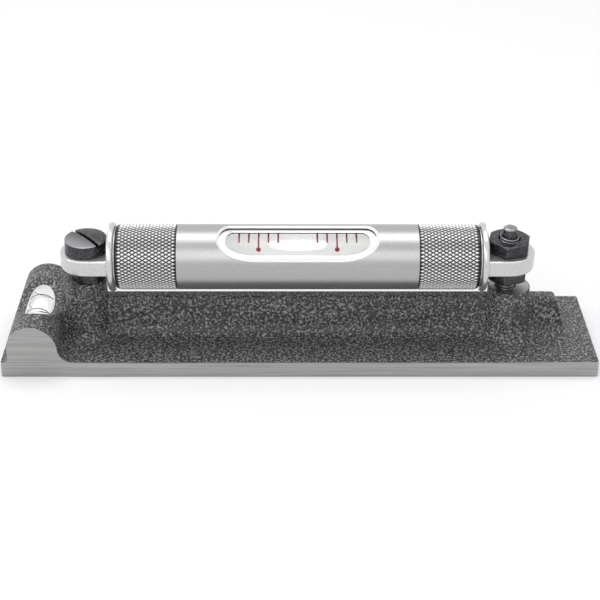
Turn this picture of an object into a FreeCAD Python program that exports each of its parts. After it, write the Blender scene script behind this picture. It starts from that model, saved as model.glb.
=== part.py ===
"""Six-inch machinist's bench level with a tilting tube, a turning cover and a cross vial.

Frame: millimetres, +Z up, +X along the base away from the cross vial, -Y the front.
Origin: the middle of the ground bottom, on the surface that the level stands on.
"""
import FreeCAD, Part
import math
import os

from FreeCAD import Vector

X_AXIS = Vector(1, 0, 0)
Y_AXIS = Vector(0, 1, 0)
Z_AXIS = Vector(0, 0, 1)
ORIGIN = Vector(0, 0, 0)
CUT_MARGIN = 1.0            # how far a cutting tool runs past the face it opens

# ---- base casting -------------------------------------------------------------
base_length = 152.4
base_width = 32.4
plate_thickness = 4.3
end_draft_deg = 2.0
plate_corner_radius = 0.6
shaft_groove_width = 9.0
shaft_groove_angle_deg = 120.0

# ---- round-topped hump that carries the cross vial ------------------------------
hump_radius = 6.4
hump_height = 14.65
hump_inset = 8.4            # left end of the base to the middle of the hump
hump_foot_fillet = 1.4
hump_flank_fillet = 4.0

# ---- lengthwise rib ---------------------------------------------------------------
rib_thickness = 3.5
rib_height = 15.0
rib_draft_deg = 3.0
rib_edge_round = 0.8
rib_flare = 3.3
rib_end_inset = 10.0        # right end of the base to the end of the rib's crest
rib_end_slope_deg = 18.0
rib_nose_round = 1.6        # corner of the crest to the ends of its rounding
rib_end_flare = 2.6         # foot of the slope to the ends of its concave flare

# ---- pedestals under the two eyes -------------------------------------------------
boss_radius = 5.4
boss_outset = 1.0           # each cast boss stands this far outboard of its screw
boss_draft_deg = 2.0
boss_flare = 3.3
boss_rim_round = 0.35
left_boss_height = 20.3
right_boss_height = 17.8
tapped_hole_floor = 7.5     # height of the bottom of both tapped holes

# ---- tube: main axis and end caps -------------------------------------------------
tube_axis_height = 26.05
left_pivot_inset = 21.8     # left end of the base to the pivot screw's axis
right_pivot_inset = 23.1    # right end of the base to the adjusting stud's axis
eye_reach = 4.88            # each upright screw axis to the outer face of its end cap
cap_flange_radius = 8.8
cap_flange_thickness = 1.7
cap_flange_round = 0.7
cap_spigot_length = 5.0
eye_radius = 6.7
eye_thickness = 4.4
eye_edge_round = 0.5
eye_hole_radius = 3.05
spotface_gap = 0.12         # radial, spotface in each flange to the screw head that it clears

# ---- inner tube and turning cover ----------------------------------------------
cover_radius = 8.35
cover_wall = 0.9
cover_running_gap = 0.1     # radial, cover on inner tube
cover_end_gap = 0.3         # cover to each flange
cover_edge_chamfer = 0.3
knurl_length = 15.6
knurl_inset = 1.2           # end of the cover to the edge of its knurled band
knurl_relief = 0.05         # the plain middle lies this much below the bands
inner_tube_wall = 0.8

# ---- window ---------------------------------------------------------------------
window_lean_deg = 30.0      # the window leans this far from upright to the front
cover_window_half_width = 4.6
cover_window_half_length = 19.7
cover_window_bevel = 0.8
inner_window_half_width = 3.6
inner_window_half_length = 18.7
inner_window_bevel = 0.25

# ---- main vial --------------------------------------------------------------------
main_vial_radius = 6.0
main_vial_wall = 1.1
main_vial_length = 60.0
main_vial_end_round = 2.0
main_liquid_level = 3.83    # height of the liquid's surface above the vial's axis
main_bubble_length = 15.5
main_bubble_width = 5.9
main_bed_half_opening = 5.2

# ---- cross vial ---------------------------------------------------------------------
cross_bore_radius = 3.85
cross_bore_height = 9.35
cross_bore_floor = 4.7      # front face of the base to the blind end of the bore
cross_vial_radius = 3.55
cross_vial_wall = 0.95
cross_vial_end_round = 1.2
cross_liquid_level = 1.75
cross_bubble_length = 6.2
cross_bubble_width = 3.6
cross_bed_half_opening = 3.1
cross_plug_length = 4.6
cross_plug_gap = 1.05       # rear end of the cross vial to its plug
scoop_radius = 12.7
scoop_floor = 10.8          # height of the lowest line of the scooped window

# ---- pivot screw and its seat ------------------------------------------------------
pivot_head_radius = 5.3
pivot_head_flare = 0.2
pivot_head_height = 3.1
pivot_head_dome = 0.45
pivot_slot_width = 0.9
pivot_slot_depth = 1.7
pivot_slot_angle_deg = -48.0
pivot_shoulder_radius = 2.8
pivot_thread_radius = 2.4
pivot_seat_radius = 4.4
pivot_seat_dome = 0.35
pivot_gap = 0.1             # eye to screw head above and to seat below

# ---- adjusting stud and nuts ----------------------------------------------------
stud_radius = 2.7
stud_top = 33.6
dog_point_radius = 1.78
dog_point_length = 2.0
dog_point_chamfer = 0.35
nut_across_flats = 8.8
nut_thickness = 3.2
nut_clock_deg = 15.5
nut_corner_chamfer_deg = 30.0
nut_gap = 0.1               # nut faces to the eye
nut_bore_clearance = 0.15

# ---- fits --------------------------------------------------------------------------
thread_clearance = 0.05     # radial, screw or stud in its tapped hole
seat_clearance = 0.05       # parts that are set, soldered or stacked together
bubble_clearance = 0.1      # bubble to glass and to the liquid's surface

# ---- places worked out from the sizes above --------------------------------------
half_length = base_length / 2
half_width = base_width / 2
hump_x = -half_length + hump_inset
left_pivot_x = -half_length + left_pivot_inset
right_pivot_x = half_length - right_pivot_inset
tube_centre_x = (left_pivot_x + right_pivot_x) / 2
pivot_half_span = (right_pivot_x - left_pivot_x) / 2
cap_half_span = pivot_half_span - eye_reach
left_boss_x = left_pivot_x - boss_outset
right_boss_x = right_pivot_x + boss_outset
eye_bottom = tube_axis_height - eye_thickness / 2
eye_top = tube_axis_height + eye_thickness / 2
cover_bore = cover_radius - cover_wall
inner_tube_radius = cover_bore - cover_running_gap
inner_tube_bore = inner_tube_radius - inner_tube_wall
shoulder_half_span = cap_half_span - cap_flange_thickness
spigot_half_span = shoulder_half_span - cap_spigot_length
main_cavity_radius = main_vial_radius - main_vial_wall
cross_cavity_radius = cross_vial_radius - cross_vial_wall
cross_vial_length = base_width - cross_bore_floor - seat_clearance - cross_plug_gap - cross_plug_length
cross_vial_y = -half_width + cross_bore_floor + seat_clearance + cross_vial_length / 2
sink = plate_thickness / 2  # how deep cast features reach into the plate before fusing


# ---- geometry helpers ----------------------------------------------------------------
def line(start, end):
    """Straight edge between two points."""
    return Part.LineSegment(start, end).toShape()


def arc(start, middle, end):
    """Circular edge through three points."""
    return Part.Arc(start, middle, end).toShape()


def arc_about(start, end, centre):
    """Circular edge from start to end about centre, the short way round."""
    chord_middle = (start + end) * 0.5
    outward = (chord_middle - centre).normalize()
    middle = centre + outward * (start - centre).Length
    return arc(start, middle, end)


def rounded_corner(before, corner, after, setback):
    """Start, end and centre of the arc that rounds a corner, tangent to both its sides."""
    back = (before - corner).normalize()
    ahead = (after - corner).normalize()
    half_angle = back.getAngle(ahead) / 2
    inward = (back + ahead).normalize()
    centre = corner + inward * (setback / math.cos(half_angle))
    return corner + back * setback, corner + ahead * setback, centre


def dome_height(radius, rim_radius, rise):
    """Height above the rim of a spherical dome, at a radius from its axis."""
    sphere = (rim_radius ** 2 + rise ** 2) / (2 * rise)
    return rise - sphere + math.sqrt(sphere ** 2 - radius ** 2)


def face_of(edges):
    """Flat face bounded by one closed chain of edges."""
    return Part.Face(Part.Wire(Part.__sortEdges__(edges)))


def cylinder(radius, start, direction, length):
    """Solid cylinder from a point along a direction."""
    return Part.makeCylinder(radius, length, start, direction)


def ring(outer, inner, start, direction, length):
    """Solid tube from a point along a direction."""
    tube = cylinder(outer, start, direction, length)
    return tube.cut(cylinder(inner, start, direction, length))


def rounded_rod(radius, end_round, centre, direction, length):
    """Cylinder with rounded ends, centred on a point."""
    start = centre - direction * (length / 2)
    rod = cylinder(radius, start, direction, length)
    end_circles = [edge for edge in rod.Edges if edge.Closed]
    return rod.makeFillet(end_round, end_circles)


def flared_half_profile(half, top, foot, draft_deg, flare, rim_round):
    """Edges of a cast upright's half section in XZ: rim, drafted wall and concave foot.

    The chain starts on the Z axis at the top and ends on it below the plate's surface.
    """
    drop = top - foot - flare - rim_round
    low = half + drop * math.tan(math.radians(draft_deg))
    points = {
        "crown": Vector(0, 0, top),
        "rim": Vector(half - rim_round, 0, top),
        "shoulder": Vector(half, 0, top - rim_round),
        "waist": Vector(low, 0, foot + flare),
        "toe": Vector(low + flare, 0, foot),
        "buried_toe": Vector(low + flare, 0, foot - sink),
        "buried_axis": Vector(0, 0, foot - sink),
    }
    rim_centre = Vector(half - rim_round, 0, top - rim_round)
    flare_centre = Vector(low + flare, 0, foot + flare)
    return [
        line(points["crown"], points["rim"]),
        arc_about(points["rim"], points["shoulder"], rim_centre),
        line(points["shoulder"], points["waist"]),
        arc_about(points["waist"], points["toe"], flare_centre),
        line(points["toe"], points["buried_toe"]),
        line(points["buried_toe"], points["buried_axis"]),
    ], points


def stadium_prism(half_length, half_width, depth_from, depth_to, bevel=0.0):
    """Round-ended prism along X that leans with the window; a bevel widens its outer end."""
    def outline(grow, height):
        straight = half_length - half_width
        reach = half_width + grow
        corners = [Vector(sx * straight, sy * reach, height) for sx, sy in ((-1, -1), (1, -1), (1, 1), (-1, 1))]
        left_nose = Vector(-straight - reach, 0, height)
        right_nose = Vector(straight + reach, 0, height)
        return Part.Wire([
            line(corners[0], corners[1]),
            arc(corners[1], right_nose, corners[2]),
            line(corners[2], corners[3]),
            arc(corners[3], left_nose, corners[0]),
        ])

    if bevel:
        prism = Part.makeLoft([outline(0.0, depth_from), outline(depth_to - depth_from, depth_to)], True)
    else:
        prism = Part.Face(outline(0.0, depth_from)).extrude(Vector(0, 0, depth_to - depth_from))
    prism.rotate(ORIGIN, X_AXIS, window_lean_deg)
    prism.translate(Vector(tube_centre_x, 0, tube_axis_height))
    return prism


def window_cutter(half_length, half_width, bevel, surface_radius):
    """Straight window through one tube wall, with a bevel that opens at its surface."""
    through = stadium_prism(half_length, half_width, 0.0, surface_radius + CUT_MARGIN)
    edge_depth = math.sqrt(surface_radius ** 2 - (half_width + bevel) ** 2) - bevel
    flare = stadium_prism(half_length, half_width, edge_depth, surface_radius + CUT_MARGIN, bevel)
    return through.fuse(flare)


def tube_point(offset):
    """Point on the tube's axis, at an offset along it from the tube's middle."""
    return Vector(tube_centre_x + offset, 0, tube_axis_height)


# ---- base body ---------------------------------------------------------------------------
def make_plate():
    """Flat sole with slightly drafted ends."""
    top_half = half_length - plate_thickness * math.tan(math.radians(end_draft_deg))
    front = -half_width
    corners = [
        Vector(-half_length, front, 0),
        Vector(half_length, front, 0),
        Vector(top_half, front, plate_thickness),
        Vector(-top_half, front, plate_thickness),
    ]
    section = Part.makePolygon(corners + [corners[0]])
    plate = Part.Face(section).extrude(Y_AXIS * base_width)
    uprights = [edge for edge in plate.Edges if abs(edge.tangentAt(edge.FirstParameter).z) > 0.9]
    return plate.makeFillet(plate_corner_radius, uprights)


def make_hump():
    """Transverse hump: round crown, upright flanks and concave feet, as wide as the base."""
    front = -half_width
    crown_z = hump_height - hump_radius
    left = hump_x - hump_radius
    right = hump_x + hump_radius
    foot = plate_thickness

    def at(x, z):
        return Vector(x, front, z)

    section = face_of([
        arc(at(left, crown_z), at(hump_x, hump_height), at(right, crown_z)),
        line(at(right, crown_z), at(right, foot + hump_flank_fillet)),
        arc_about(at(right, foot + hump_flank_fillet), at(right + hump_flank_fillet, foot),
                    at(right + hump_flank_fillet, foot + hump_flank_fillet)),
        line(at(right + hump_flank_fillet, foot), at(right + hump_flank_fillet, foot - sink)),
        line(at(right + hump_flank_fillet, foot - sink), at(left - hump_foot_fillet, foot - sink)),
        line(at(left - hump_foot_fillet, foot - sink), at(left - hump_foot_fillet, foot)),
        arc_about(at(left - hump_foot_fillet, foot), at(left, foot + hump_foot_fillet),
                    at(left - hump_foot_fillet, foot + hump_foot_fillet)),
        line(at(left, foot + hump_foot_fillet), at(left, crown_z)),
    ])
    return section.extrude(Y_AXIS * base_width)


def make_rib():
    """Lengthwise rib: flared cross-section, cut to a crest line with a sloping, flared end."""
    edges, points = flared_half_profile(
        rib_thickness / 2, rib_height, plate_thickness, rib_draft_deg, rib_flare, rib_edge_round)
    half_section = face_of(edges + [line(points["buried_axis"], points["crown"])])
    half_section.rotate(ORIGIN, Z_AXIS, 90)
    half_section.translate(Vector(hump_x, 0, 0))
    other_half = half_section.mirror(ORIGIN, Y_AXIS)
    run = X_AXIS * (half_length - hump_x)
    bar = half_section.extrude(run).fuse(other_half.extrude(run)).removeSplitter()

    rise = rib_height - plate_thickness
    slope = math.tan(math.radians(rib_end_slope_deg))

    def at(x, z):
        return Vector(x, -half_width, z)

    crest = at(half_length - rib_end_inset, rib_height)
    foot = at(crest.x + rise * slope, plate_thickness)
    crest_start = at(hump_x, rib_height)
    nose_start, nose_end, nose_centre = rounded_corner(crest_start, crest, foot, rib_nose_round)
    flare_start, flare_end, flare_centre = rounded_corner(crest, foot, at(half_length, foot.z), rib_end_flare)
    side_view = face_of([
        line(at(hump_x, plate_thickness - sink), crest_start),
        line(crest_start, nose_start),
        arc_about(nose_start, nose_end, nose_centre),
        line(nose_end, flare_start),
        arc_about(flare_start, flare_end, flare_centre),
        line(flare_end, at(flare_end.x, plate_thickness - sink)),
        line(at(flare_end.x, plate_thickness - sink), at(hump_x, plate_thickness - sink)),
    ])
    return bar.common(side_view.extrude(Y_AXIS * base_width))


def make_boss(x, height):
    """Round pedestal with a drafted wall, a concave foot and a flat machined top."""
    edges, points = flared_half_profile(
        boss_radius, height, plate_thickness, boss_draft_deg, boss_flare, boss_rim_round)
    section = face_of(edges + [line(points["buried_axis"], points["crown"])])
    boss = section.revolve(ORIGIN, Z_AXIS, 360)
    boss.translate(Vector(x, 0, 0))
    return boss


def make_scoop():
    """Saddle-shaped window cut across the hump's crown to show the cross vial."""
    length = hump_inset + hump_radius + CUT_MARGIN
    start = Vector(-half_length - CUT_MARGIN, 0, scoop_floor + scoop_radius)
    return cylinder(scoop_radius, start, X_AXIS, length)


def make_shaft_groove():
    """Lengthwise vee in the sole that seats the level on round shafts."""
    half = shaft_groove_width / 2
    depth = half / math.tan(math.radians(shaft_groove_angle_deg / 2))
    start = -half_length - CUT_MARGIN
    corners = [Vector(start, -half, 0), Vector(start, 0, depth), Vector(start, half, 0)]
    vee = Part.Face(Part.makePolygon(corners + [corners[0]]))
    return vee.extrude(X_AXIS * (base_length + 2 * CUT_MARGIN))


def make_base_casting():
    """Iron casting: sole, hump, rib and pedestals in one piece, then machined."""
    left_boss = make_boss(left_boss_x, left_boss_height)
    right_boss = make_boss(right_boss_x, right_boss_height)
    casting = make_plate().fuse([make_hump().cut(make_scoop()), make_rib().cut(make_scoop())])
    casting = casting.fuse([left_boss, right_boss]).removeSplitter()
    bore_length = base_width - cross_bore_floor + CUT_MARGIN
    bore_start = Vector(hump_x, -half_width + cross_bore_floor, cross_bore_height)
    cuts = [
        cylinder(cross_bore_radius, bore_start, Y_AXIS, bore_length),
        cylinder(pivot_thread_radius + thread_clearance, Vector(left_pivot_x, 0, tapped_hole_floor),
                 Z_AXIS, left_boss_height),
        cylinder(stud_radius + thread_clearance, Vector(right_pivot_x, 0, tapped_hole_floor),
                 Z_AXIS, right_boss_height),
        make_shaft_groove(),
    ]
    return casting.cut(cuts)


def make_pivot_screw():
    """Large slotted screw: domed head, plain shoulder through the eye and threaded end."""
    underside = eye_top + pivot_gap
    rim = underside + pivot_head_height
    crown = rim + pivot_head_dome
    low_radius = pivot_head_radius + pivot_head_flare
    axis_low = Vector(0, 0, tapped_hole_floor + seat_clearance)
    middle_radius = pivot_head_radius / 2
    middle_z = rim + dome_height(middle_radius, pivot_head_radius, pivot_head_dome)
    section = face_of([
        line(axis_low, Vector(pivot_thread_radius, 0, axis_low.z)),
        line(Vector(pivot_thread_radius, 0, axis_low.z), Vector(pivot_thread_radius, 0, left_boss_height)),
        line(Vector(pivot_thread_radius, 0, left_boss_height), Vector(pivot_shoulder_radius, 0, left_boss_height)),
        line(Vector(pivot_shoulder_radius, 0, left_boss_height), Vector(pivot_shoulder_radius, 0, underside)),
        line(Vector(pivot_shoulder_radius, 0, underside), Vector(low_radius, 0, underside)),
        line(Vector(low_radius, 0, underside), Vector(pivot_head_radius, 0, rim)),
        arc(Vector(pivot_head_radius, 0, rim), Vector(middle_radius, 0, middle_z), Vector(0, 0, crown)),
        line(Vector(0, 0, crown), axis_low),
    ])
    screw = section.revolve(ORIGIN, Z_AXIS, 360)
    slot = Part.makeBox(4 * pivot_head_radius, pivot_slot_width, pivot_slot_depth + CUT_MARGIN,
                        Vector(-2 * pivot_head_radius, -pivot_slot_width / 2, crown - pivot_slot_depth))
    slot.rotate(ORIGIN, Z_AXIS, pivot_slot_angle_deg)
    screw = screw.cut(slot)
    screw.translate(Vector(left_pivot_x, 0, 0))
    return screw


def make_pivot_seat():
    """Blackened collar on the left boss; the eye rocks on its rounded top."""
    inner = pivot_shoulder_radius + seat_clearance
    top = eye_bottom - pivot_gap
    middle_radius = (inner + pivot_seat_radius) / 2
    section = face_of([
        line(Vector(inner, 0, left_boss_height), Vector(pivot_seat_radius, 0, left_boss_height)),
        line(Vector(pivot_seat_radius, 0, left_boss_height), Vector(pivot_seat_radius, 0, top - pivot_seat_dome)),
        arc(Vector(pivot_seat_radius, 0, top - pivot_seat_dome), Vector(middle_radius, 0, top),
            Vector(inner, 0, top - pivot_seat_dome)),
        line(Vector(inner, 0, top - pivot_seat_dome), Vector(inner, 0, left_boss_height)),
    ])
    seat = section.revolve(ORIGIN, Z_AXIS, 360)
    seat.translate(Vector(left_pivot_x, 0, 0))
    return seat


def make_adjusting_stud():
    """Threaded stud in the right boss, with a chamfered dog point on top."""
    start = Vector(right_pivot_x, 0, tapped_hole_floor + seat_clearance)
    shank = cylinder(stud_radius, start, Z_AXIS, stud_top - start.z)
    top_rim = [edge for edge in shank.Edges if edge.Closed and edge.CenterOfMass.z > stud_top - CUT_MARGIN]
    shank = shank.makeChamfer(dog_point_chamfer, top_rim)
    tip = cylinder(dog_point_radius, Vector(right_pivot_x, 0, stud_top), Z_AXIS, dog_point_length)
    tip_top = stud_top + dog_point_length
    tip_rim = [edge for edge in tip.Edges if edge.Closed and edge.CenterOfMass.z > tip_top - dog_point_chamfer]
    return shank.fuse(tip.makeChamfer(dog_point_chamfer, tip_rim)).removeSplitter()


def make_nut(bottom):
    """Hexagon nut with both faces chamfered to a circle."""
    corner_radius = nut_across_flats / 2 / math.cos(math.radians(30))
    corners = [Vector(corner_radius * math.cos(math.radians(nut_clock_deg + 60 * k)),
                      corner_radius * math.sin(math.radians(nut_clock_deg + 60 * k)), bottom)
               for k in range(6)]
    hexagon = Part.Face(Part.makePolygon(corners + [corners[0]])).extrude(Z_AXIS * nut_thickness)
    face_radius = nut_across_flats / 2
    cone_drop = (corner_radius - face_radius) * math.tan(math.radians(nut_corner_chamfer_deg))
    top = bottom + nut_thickness
    envelope = Part.makePolygon([
        Vector(0, 0, bottom),
        Vector(face_radius, 0, bottom),
        Vector(corner_radius, 0, bottom + cone_drop),
        Vector(corner_radius, 0, top - cone_drop),
        Vector(face_radius, 0, top),
        Vector(0, 0, top),
        Vector(0, 0, bottom),
    ])
    turned = Part.Face(envelope).revolve(ORIGIN, Z_AXIS, 360)
    bore = cylinder(stud_radius + nut_bore_clearance, Vector(0, 0, bottom), Z_AXIS, nut_thickness)
    nut = hexagon.common(turned).cut(bore)
    nut.translate(Vector(right_pivot_x, 0, 0))
    return nut


# ---- tilting tube body -----------------------------------------------------------------------
def make_end_cap(side):
    """End cap: flange, spigot in the inner tube, and an eye for its upright screw."""
    toward_middle = X_AXIS * -side
    outer_face = tube_point(side * cap_half_span)
    flange = cylinder(cap_flange_radius, outer_face, toward_middle, cap_flange_thickness)
    rims = [edge for edge in flange.Edges if edge.Closed]
    flange = flange.makeFillet(cap_flange_round, rims)
    spigot = cylinder(inner_tube_bore - seat_clearance, outer_face, toward_middle,
                      cap_flange_thickness + cap_spigot_length)
    pivot = Vector(tube_centre_x + side * pivot_half_span, 0, eye_bottom)
    eye = cylinder(eye_radius, pivot, Z_AXIS, eye_thickness)
    neck_start = min(pivot.x, outer_face.x - side * cap_flange_round)
    neck_end = max(pivot.x, outer_face.x - side * cap_flange_round)
    neck = Part.makeBox(neck_end - neck_start, 2 * eye_radius, eye_thickness,
                        Vector(neck_start, -eye_radius, eye_bottom))
    tab = eye.fuse(neck).removeSplitter()
    outer_rims = [edge for edge in tab.Edges if abs(edge.BoundBox.ZLength) < eye_edge_round
                  and edge.BoundBox.XLength > eye_edge_round and edge.BoundBox.YLength > eye_edge_round]
    tab = tab.makeFillet(eye_edge_round, outer_rims)
    inside = cylinder(inner_tube_bore - seat_clearance, tube_point(0), X_AXIS * side,
                      cap_half_span - cap_flange_thickness)
    hole = cylinder(eye_hole_radius, pivot - Z_AXIS * CUT_MARGIN, Z_AXIS, eye_thickness + 2 * CUT_MARGIN)
    spotface_radius = pivot_head_radius + pivot_head_flare + spotface_gap
    upper = cylinder(spotface_radius, pivot + Z_AXIS * eye_thickness, Z_AXIS, cap_flange_radius)
    lower = cylinder(spotface_radius, pivot, -Z_AXIS, cap_flange_radius)
    return flange.fuse([spigot, tab.cut(inside)]).removeSplitter().cut([hole, upper, lower])


def make_inner_tube():
    """Plain brass tube between the two caps, with the fixed window."""
    start = tube_point(-shoulder_half_span)
    tube = ring(inner_tube_radius, inner_tube_bore, start, X_AXIS, 2 * shoulder_half_span)
    return tube.cut(window_cutter(inner_window_half_length, inner_window_half_width,
                                  inner_window_bevel, inner_tube_radius))


def make_cover_sleeve():
    """Turning cover: knurled band at each end, bevelled window in the middle."""
    half = shoulder_half_span - cover_end_gap
    band_outer = half - knurl_inset
    band_inner = band_outer - knurl_length
    plain = cover_radius - knurl_relief
    stations = [
        (-half, plain - cover_edge_chamfer),
        (-half + cover_edge_chamfer, plain),
        (-band_outer, plain),
        (-band_outer, cover_radius),
        (-band_inner, cover_radius),
        (-band_inner, plain),
        (band_inner, plain),
        (band_inner, cover_radius),
        (band_outer, cover_radius),
        (band_outer, plain),
        (half - cover_edge_chamfer, plain),
        (half, plain - cover_edge_chamfer),
        (half, cover_bore),
        (-half, cover_bore),
    ]
    corners = [tube_point(x) + Z_AXIS * radius for x, radius in stations]
    sleeve = Part.Face(Part.makePolygon(corners + [corners[0]])).revolve(tube_point(0), X_AXIS, 360)
    return sleeve.cut(window_cutter(cover_window_half_length, cover_window_half_width,
                                    cover_window_bevel, plain))


def make_vial_glass(radius, wall, end_round, centre, direction, length):
    """Closed glass tube with rounded ends and a sealed cavity."""
    outside = rounded_rod(radius, end_round, centre, direction, length)
    inside = rounded_rod(radius - wall, end_round, centre, direction, length - 2 * wall)
    return outside.cut(inside)


def make_spirit(cavity_radius, wall, end_round, level, centre, direction, length):
    """Liquid up to a level surface; the free space above is the bubble's channel."""
    radius = cavity_radius - seat_clearance
    inner_length = length - 2 * wall - 2 * seat_clearance
    fill = rounded_rod(radius, end_round, centre, direction, inner_length)
    reach = length
    corner = Vector(centre.x - reach, centre.y - reach, centre.z + level)
    return fill.cut(Part.makeBox(2 * reach, 2 * reach, reach, corner))


def make_bubble(cavity_radius, level, centre, direction, length, width):
    """Air bubble: long lozenge with round ends under the crown of the bore."""
    side = Z_AXIS.cross(direction)
    low = centre + Z_AXIS * (level + bubble_clearance)
    end_run = width / 2
    shoulder = length / 2 - end_run
    corners = [low + direction * (a * shoulder) + side * (b * width / 2)
               for a, b in ((-1, -1), (1, -1), (1, 1), (-1, 1))]
    outline = Part.Wire([
        line(corners[0], corners[1]),
        arc(corners[1], low + direction * (length / 2), corners[2]),
        line(corners[2], corners[3]),
        arc(corners[3], low - direction * (length / 2), corners[0]),
    ])
    slug = Part.Face(outline).extrude(Z_AXIS * cavity_radius)
    roof = cylinder(cavity_radius - bubble_clearance, centre - direction * length, direction, 2 * length)
    return slug.common(roof)


def make_main_bed():
    """White packing shell that beds the main vial; open toward the window."""
    start = tube_point(-main_vial_length / 2)
    shell = ring(inner_tube_bore - seat_clearance, main_vial_radius + seat_clearance,
                 start, X_AXIS, main_vial_length)
    opening = stadium_prism(main_vial_length, main_bed_half_opening, 0.0, cover_radius)
    return shell.cut(opening)


def make_vial_plug(side):
    """Packing between the main vial's end and the cap's spigot."""
    start = tube_point(side * (main_vial_length / 2 + seat_clearance))
    length = spigot_half_span - main_vial_length / 2 - 2 * seat_clearance
    return cylinder(inner_tube_bore - seat_clearance, start, X_AXIS * side, length)


# ---- cross vial pieces ---------------------------------------------------------------------
def cross_centre():
    """Middle of the cross vial."""
    return Vector(hump_x, cross_vial_y, cross_bore_height)


def make_cross_bed():
    """Plaster that sets the cross vial in its bore; open toward the scooped window."""
    start = cross_centre() - Y_AXIS * (cross_vial_length / 2)
    shell = ring(cross_bore_radius - seat_clearance, cross_vial_radius + seat_clearance,
                 start, Y_AXIS, cross_vial_length)
    opening = Part.makeBox(2 * cross_bed_half_opening, cross_vial_length, cross_bore_radius,
                           Vector(hump_x - cross_bed_half_opening, start.y, cross_bore_height))
    return shell.cut(opening)


def make_cross_plug():
    """Plug that closes the rear end of the cross bore."""
    start = Vector(hump_x, half_width - cross_plug_length, cross_bore_height)
    return cylinder(cross_bore_radius - seat_clearance, start, Y_AXIS, cross_plug_length - seat_clearance)


def build():
    """Return every node's solid by name."""
    main = (tube_point(0), X_AXIS)
    cross = (cross_centre(), Y_AXIS)
    return {
        "base_casting": make_base_casting(),
        "pivot_screw": make_pivot_screw(),
        "pivot_seat": make_pivot_seat(),
        "adjusting_stud": make_adjusting_stud(),
        "cross_vial_glass": make_vial_glass(cross_vial_radius, cross_vial_wall, cross_vial_end_round,
                                            *cross, cross_vial_length),
        "cross_vial_spirit": make_spirit(cross_cavity_radius, cross_vial_wall, cross_vial_end_round,
                                         cross_liquid_level, *cross, cross_vial_length),
        "cross_vial_bed": make_cross_bed(),
        "cross_vial_plug": make_cross_plug(),
        "cross_bubble": make_bubble(cross_cavity_radius, cross_liquid_level, *cross,
                                    cross_bubble_length, cross_bubble_width),
        "top_nut": make_nut(eye_top + nut_gap),
        "lower_nut": make_nut(eye_bottom - nut_gap - nut_thickness),
        "left_end_cap": make_end_cap(-1),
        "right_end_cap": make_end_cap(1),
        "inner_tube": make_inner_tube(),
        "cover_sleeve": make_cover_sleeve(),
        "main_vial_glass": make_vial_glass(main_vial_radius, main_vial_wall, main_vial_end_round,
                                           *main, main_vial_length),
        "main_vial_spirit": make_spirit(main_cavity_radius, main_vial_wall, main_vial_end_round,
                                        main_liquid_level, *main, main_vial_length),
        "main_vial_bed": make_main_bed(),
        "main_bubble": make_bubble(main_cavity_radius, main_liquid_level, *main,
                                   main_bubble_length, main_bubble_width),
        "left_vial_plug": make_vial_plug(-1),
        "right_vial_plug": make_vial_plug(1),
    }


def main():
    """Write one STEP file per node."""
    os.makedirs("parts", exist_ok=True)
    for name, shape in build().items():
        solids = shape.Solids
        if not shape.isValid() or len(solids) != 1:
            print("CHECK", name, "valid", shape.isValid(), "solids", len(solids))
        part = solids[0] if len(solids) == 1 else shape
        part.exportStep(f"parts/{name}.step")
        box = part.BoundBox
        print(f"{name:18s} volume {part.Volume:10.2f}  x {box.XMin:7.2f} {box.XMax:7.2f}"
              f"  y {box.YMin:7.2f} {box.YMax:7.2f}  z {box.ZMin:6.2f} {box.ZMax:6.2f}")


if __name__ == "__main__":
    main()
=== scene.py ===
"""Looks of a six-inch machinist's bench level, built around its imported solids.

Every length in the classes is in millimetres and is turned into metres where a mesh is made.
"""
import logging
import math
from dataclasses import dataclass
from enum import Enum
from typing import Any, Callable, Optional, Sequence

import bmesh
import bpy
from mathutils import Euler, Matrix, Vector


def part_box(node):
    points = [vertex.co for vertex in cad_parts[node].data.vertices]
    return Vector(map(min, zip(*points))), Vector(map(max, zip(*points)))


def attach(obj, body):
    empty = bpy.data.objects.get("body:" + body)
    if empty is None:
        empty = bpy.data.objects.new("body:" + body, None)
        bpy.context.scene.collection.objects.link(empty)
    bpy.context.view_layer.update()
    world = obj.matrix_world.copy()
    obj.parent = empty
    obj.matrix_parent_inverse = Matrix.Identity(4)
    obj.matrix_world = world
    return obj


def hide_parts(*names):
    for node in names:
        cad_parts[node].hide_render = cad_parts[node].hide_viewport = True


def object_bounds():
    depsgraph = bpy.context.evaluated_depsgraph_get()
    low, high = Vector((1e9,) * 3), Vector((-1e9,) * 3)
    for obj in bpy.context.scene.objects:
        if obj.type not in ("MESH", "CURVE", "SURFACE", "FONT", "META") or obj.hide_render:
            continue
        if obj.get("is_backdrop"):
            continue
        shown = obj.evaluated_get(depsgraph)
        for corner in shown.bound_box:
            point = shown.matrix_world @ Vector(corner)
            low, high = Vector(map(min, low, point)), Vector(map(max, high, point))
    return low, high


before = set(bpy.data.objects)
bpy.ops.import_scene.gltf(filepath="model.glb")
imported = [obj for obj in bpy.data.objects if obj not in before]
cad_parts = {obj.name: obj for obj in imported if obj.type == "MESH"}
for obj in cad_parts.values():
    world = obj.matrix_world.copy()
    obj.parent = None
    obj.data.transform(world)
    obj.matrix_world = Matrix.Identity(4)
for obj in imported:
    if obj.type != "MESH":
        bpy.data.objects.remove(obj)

MM = 0.001
LOG = logging.getLogger("bench_level")
Colour = tuple[float, float, float]


class Body(str, Enum):
    """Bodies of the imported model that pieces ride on."""

    BASE = "base"
    TUBE = "tube"
    COVER = "cover"
    TOP_NUT = "top_nut_body"
    LOWER_NUT = "lower_nut_body"
    MAIN_BUBBLE = "main_bubble_body"
    CROSS_BUBBLE = "cross_bubble_body"


class Direction(Enum):
    """Directions that tool marks run in."""

    ALONG = (30.0, 2600.0, 2600.0)
    ACROSS = (2600.0, 30.0, 2600.0)
    ROUND_X = (2600.0, 120.0, 120.0)


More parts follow.
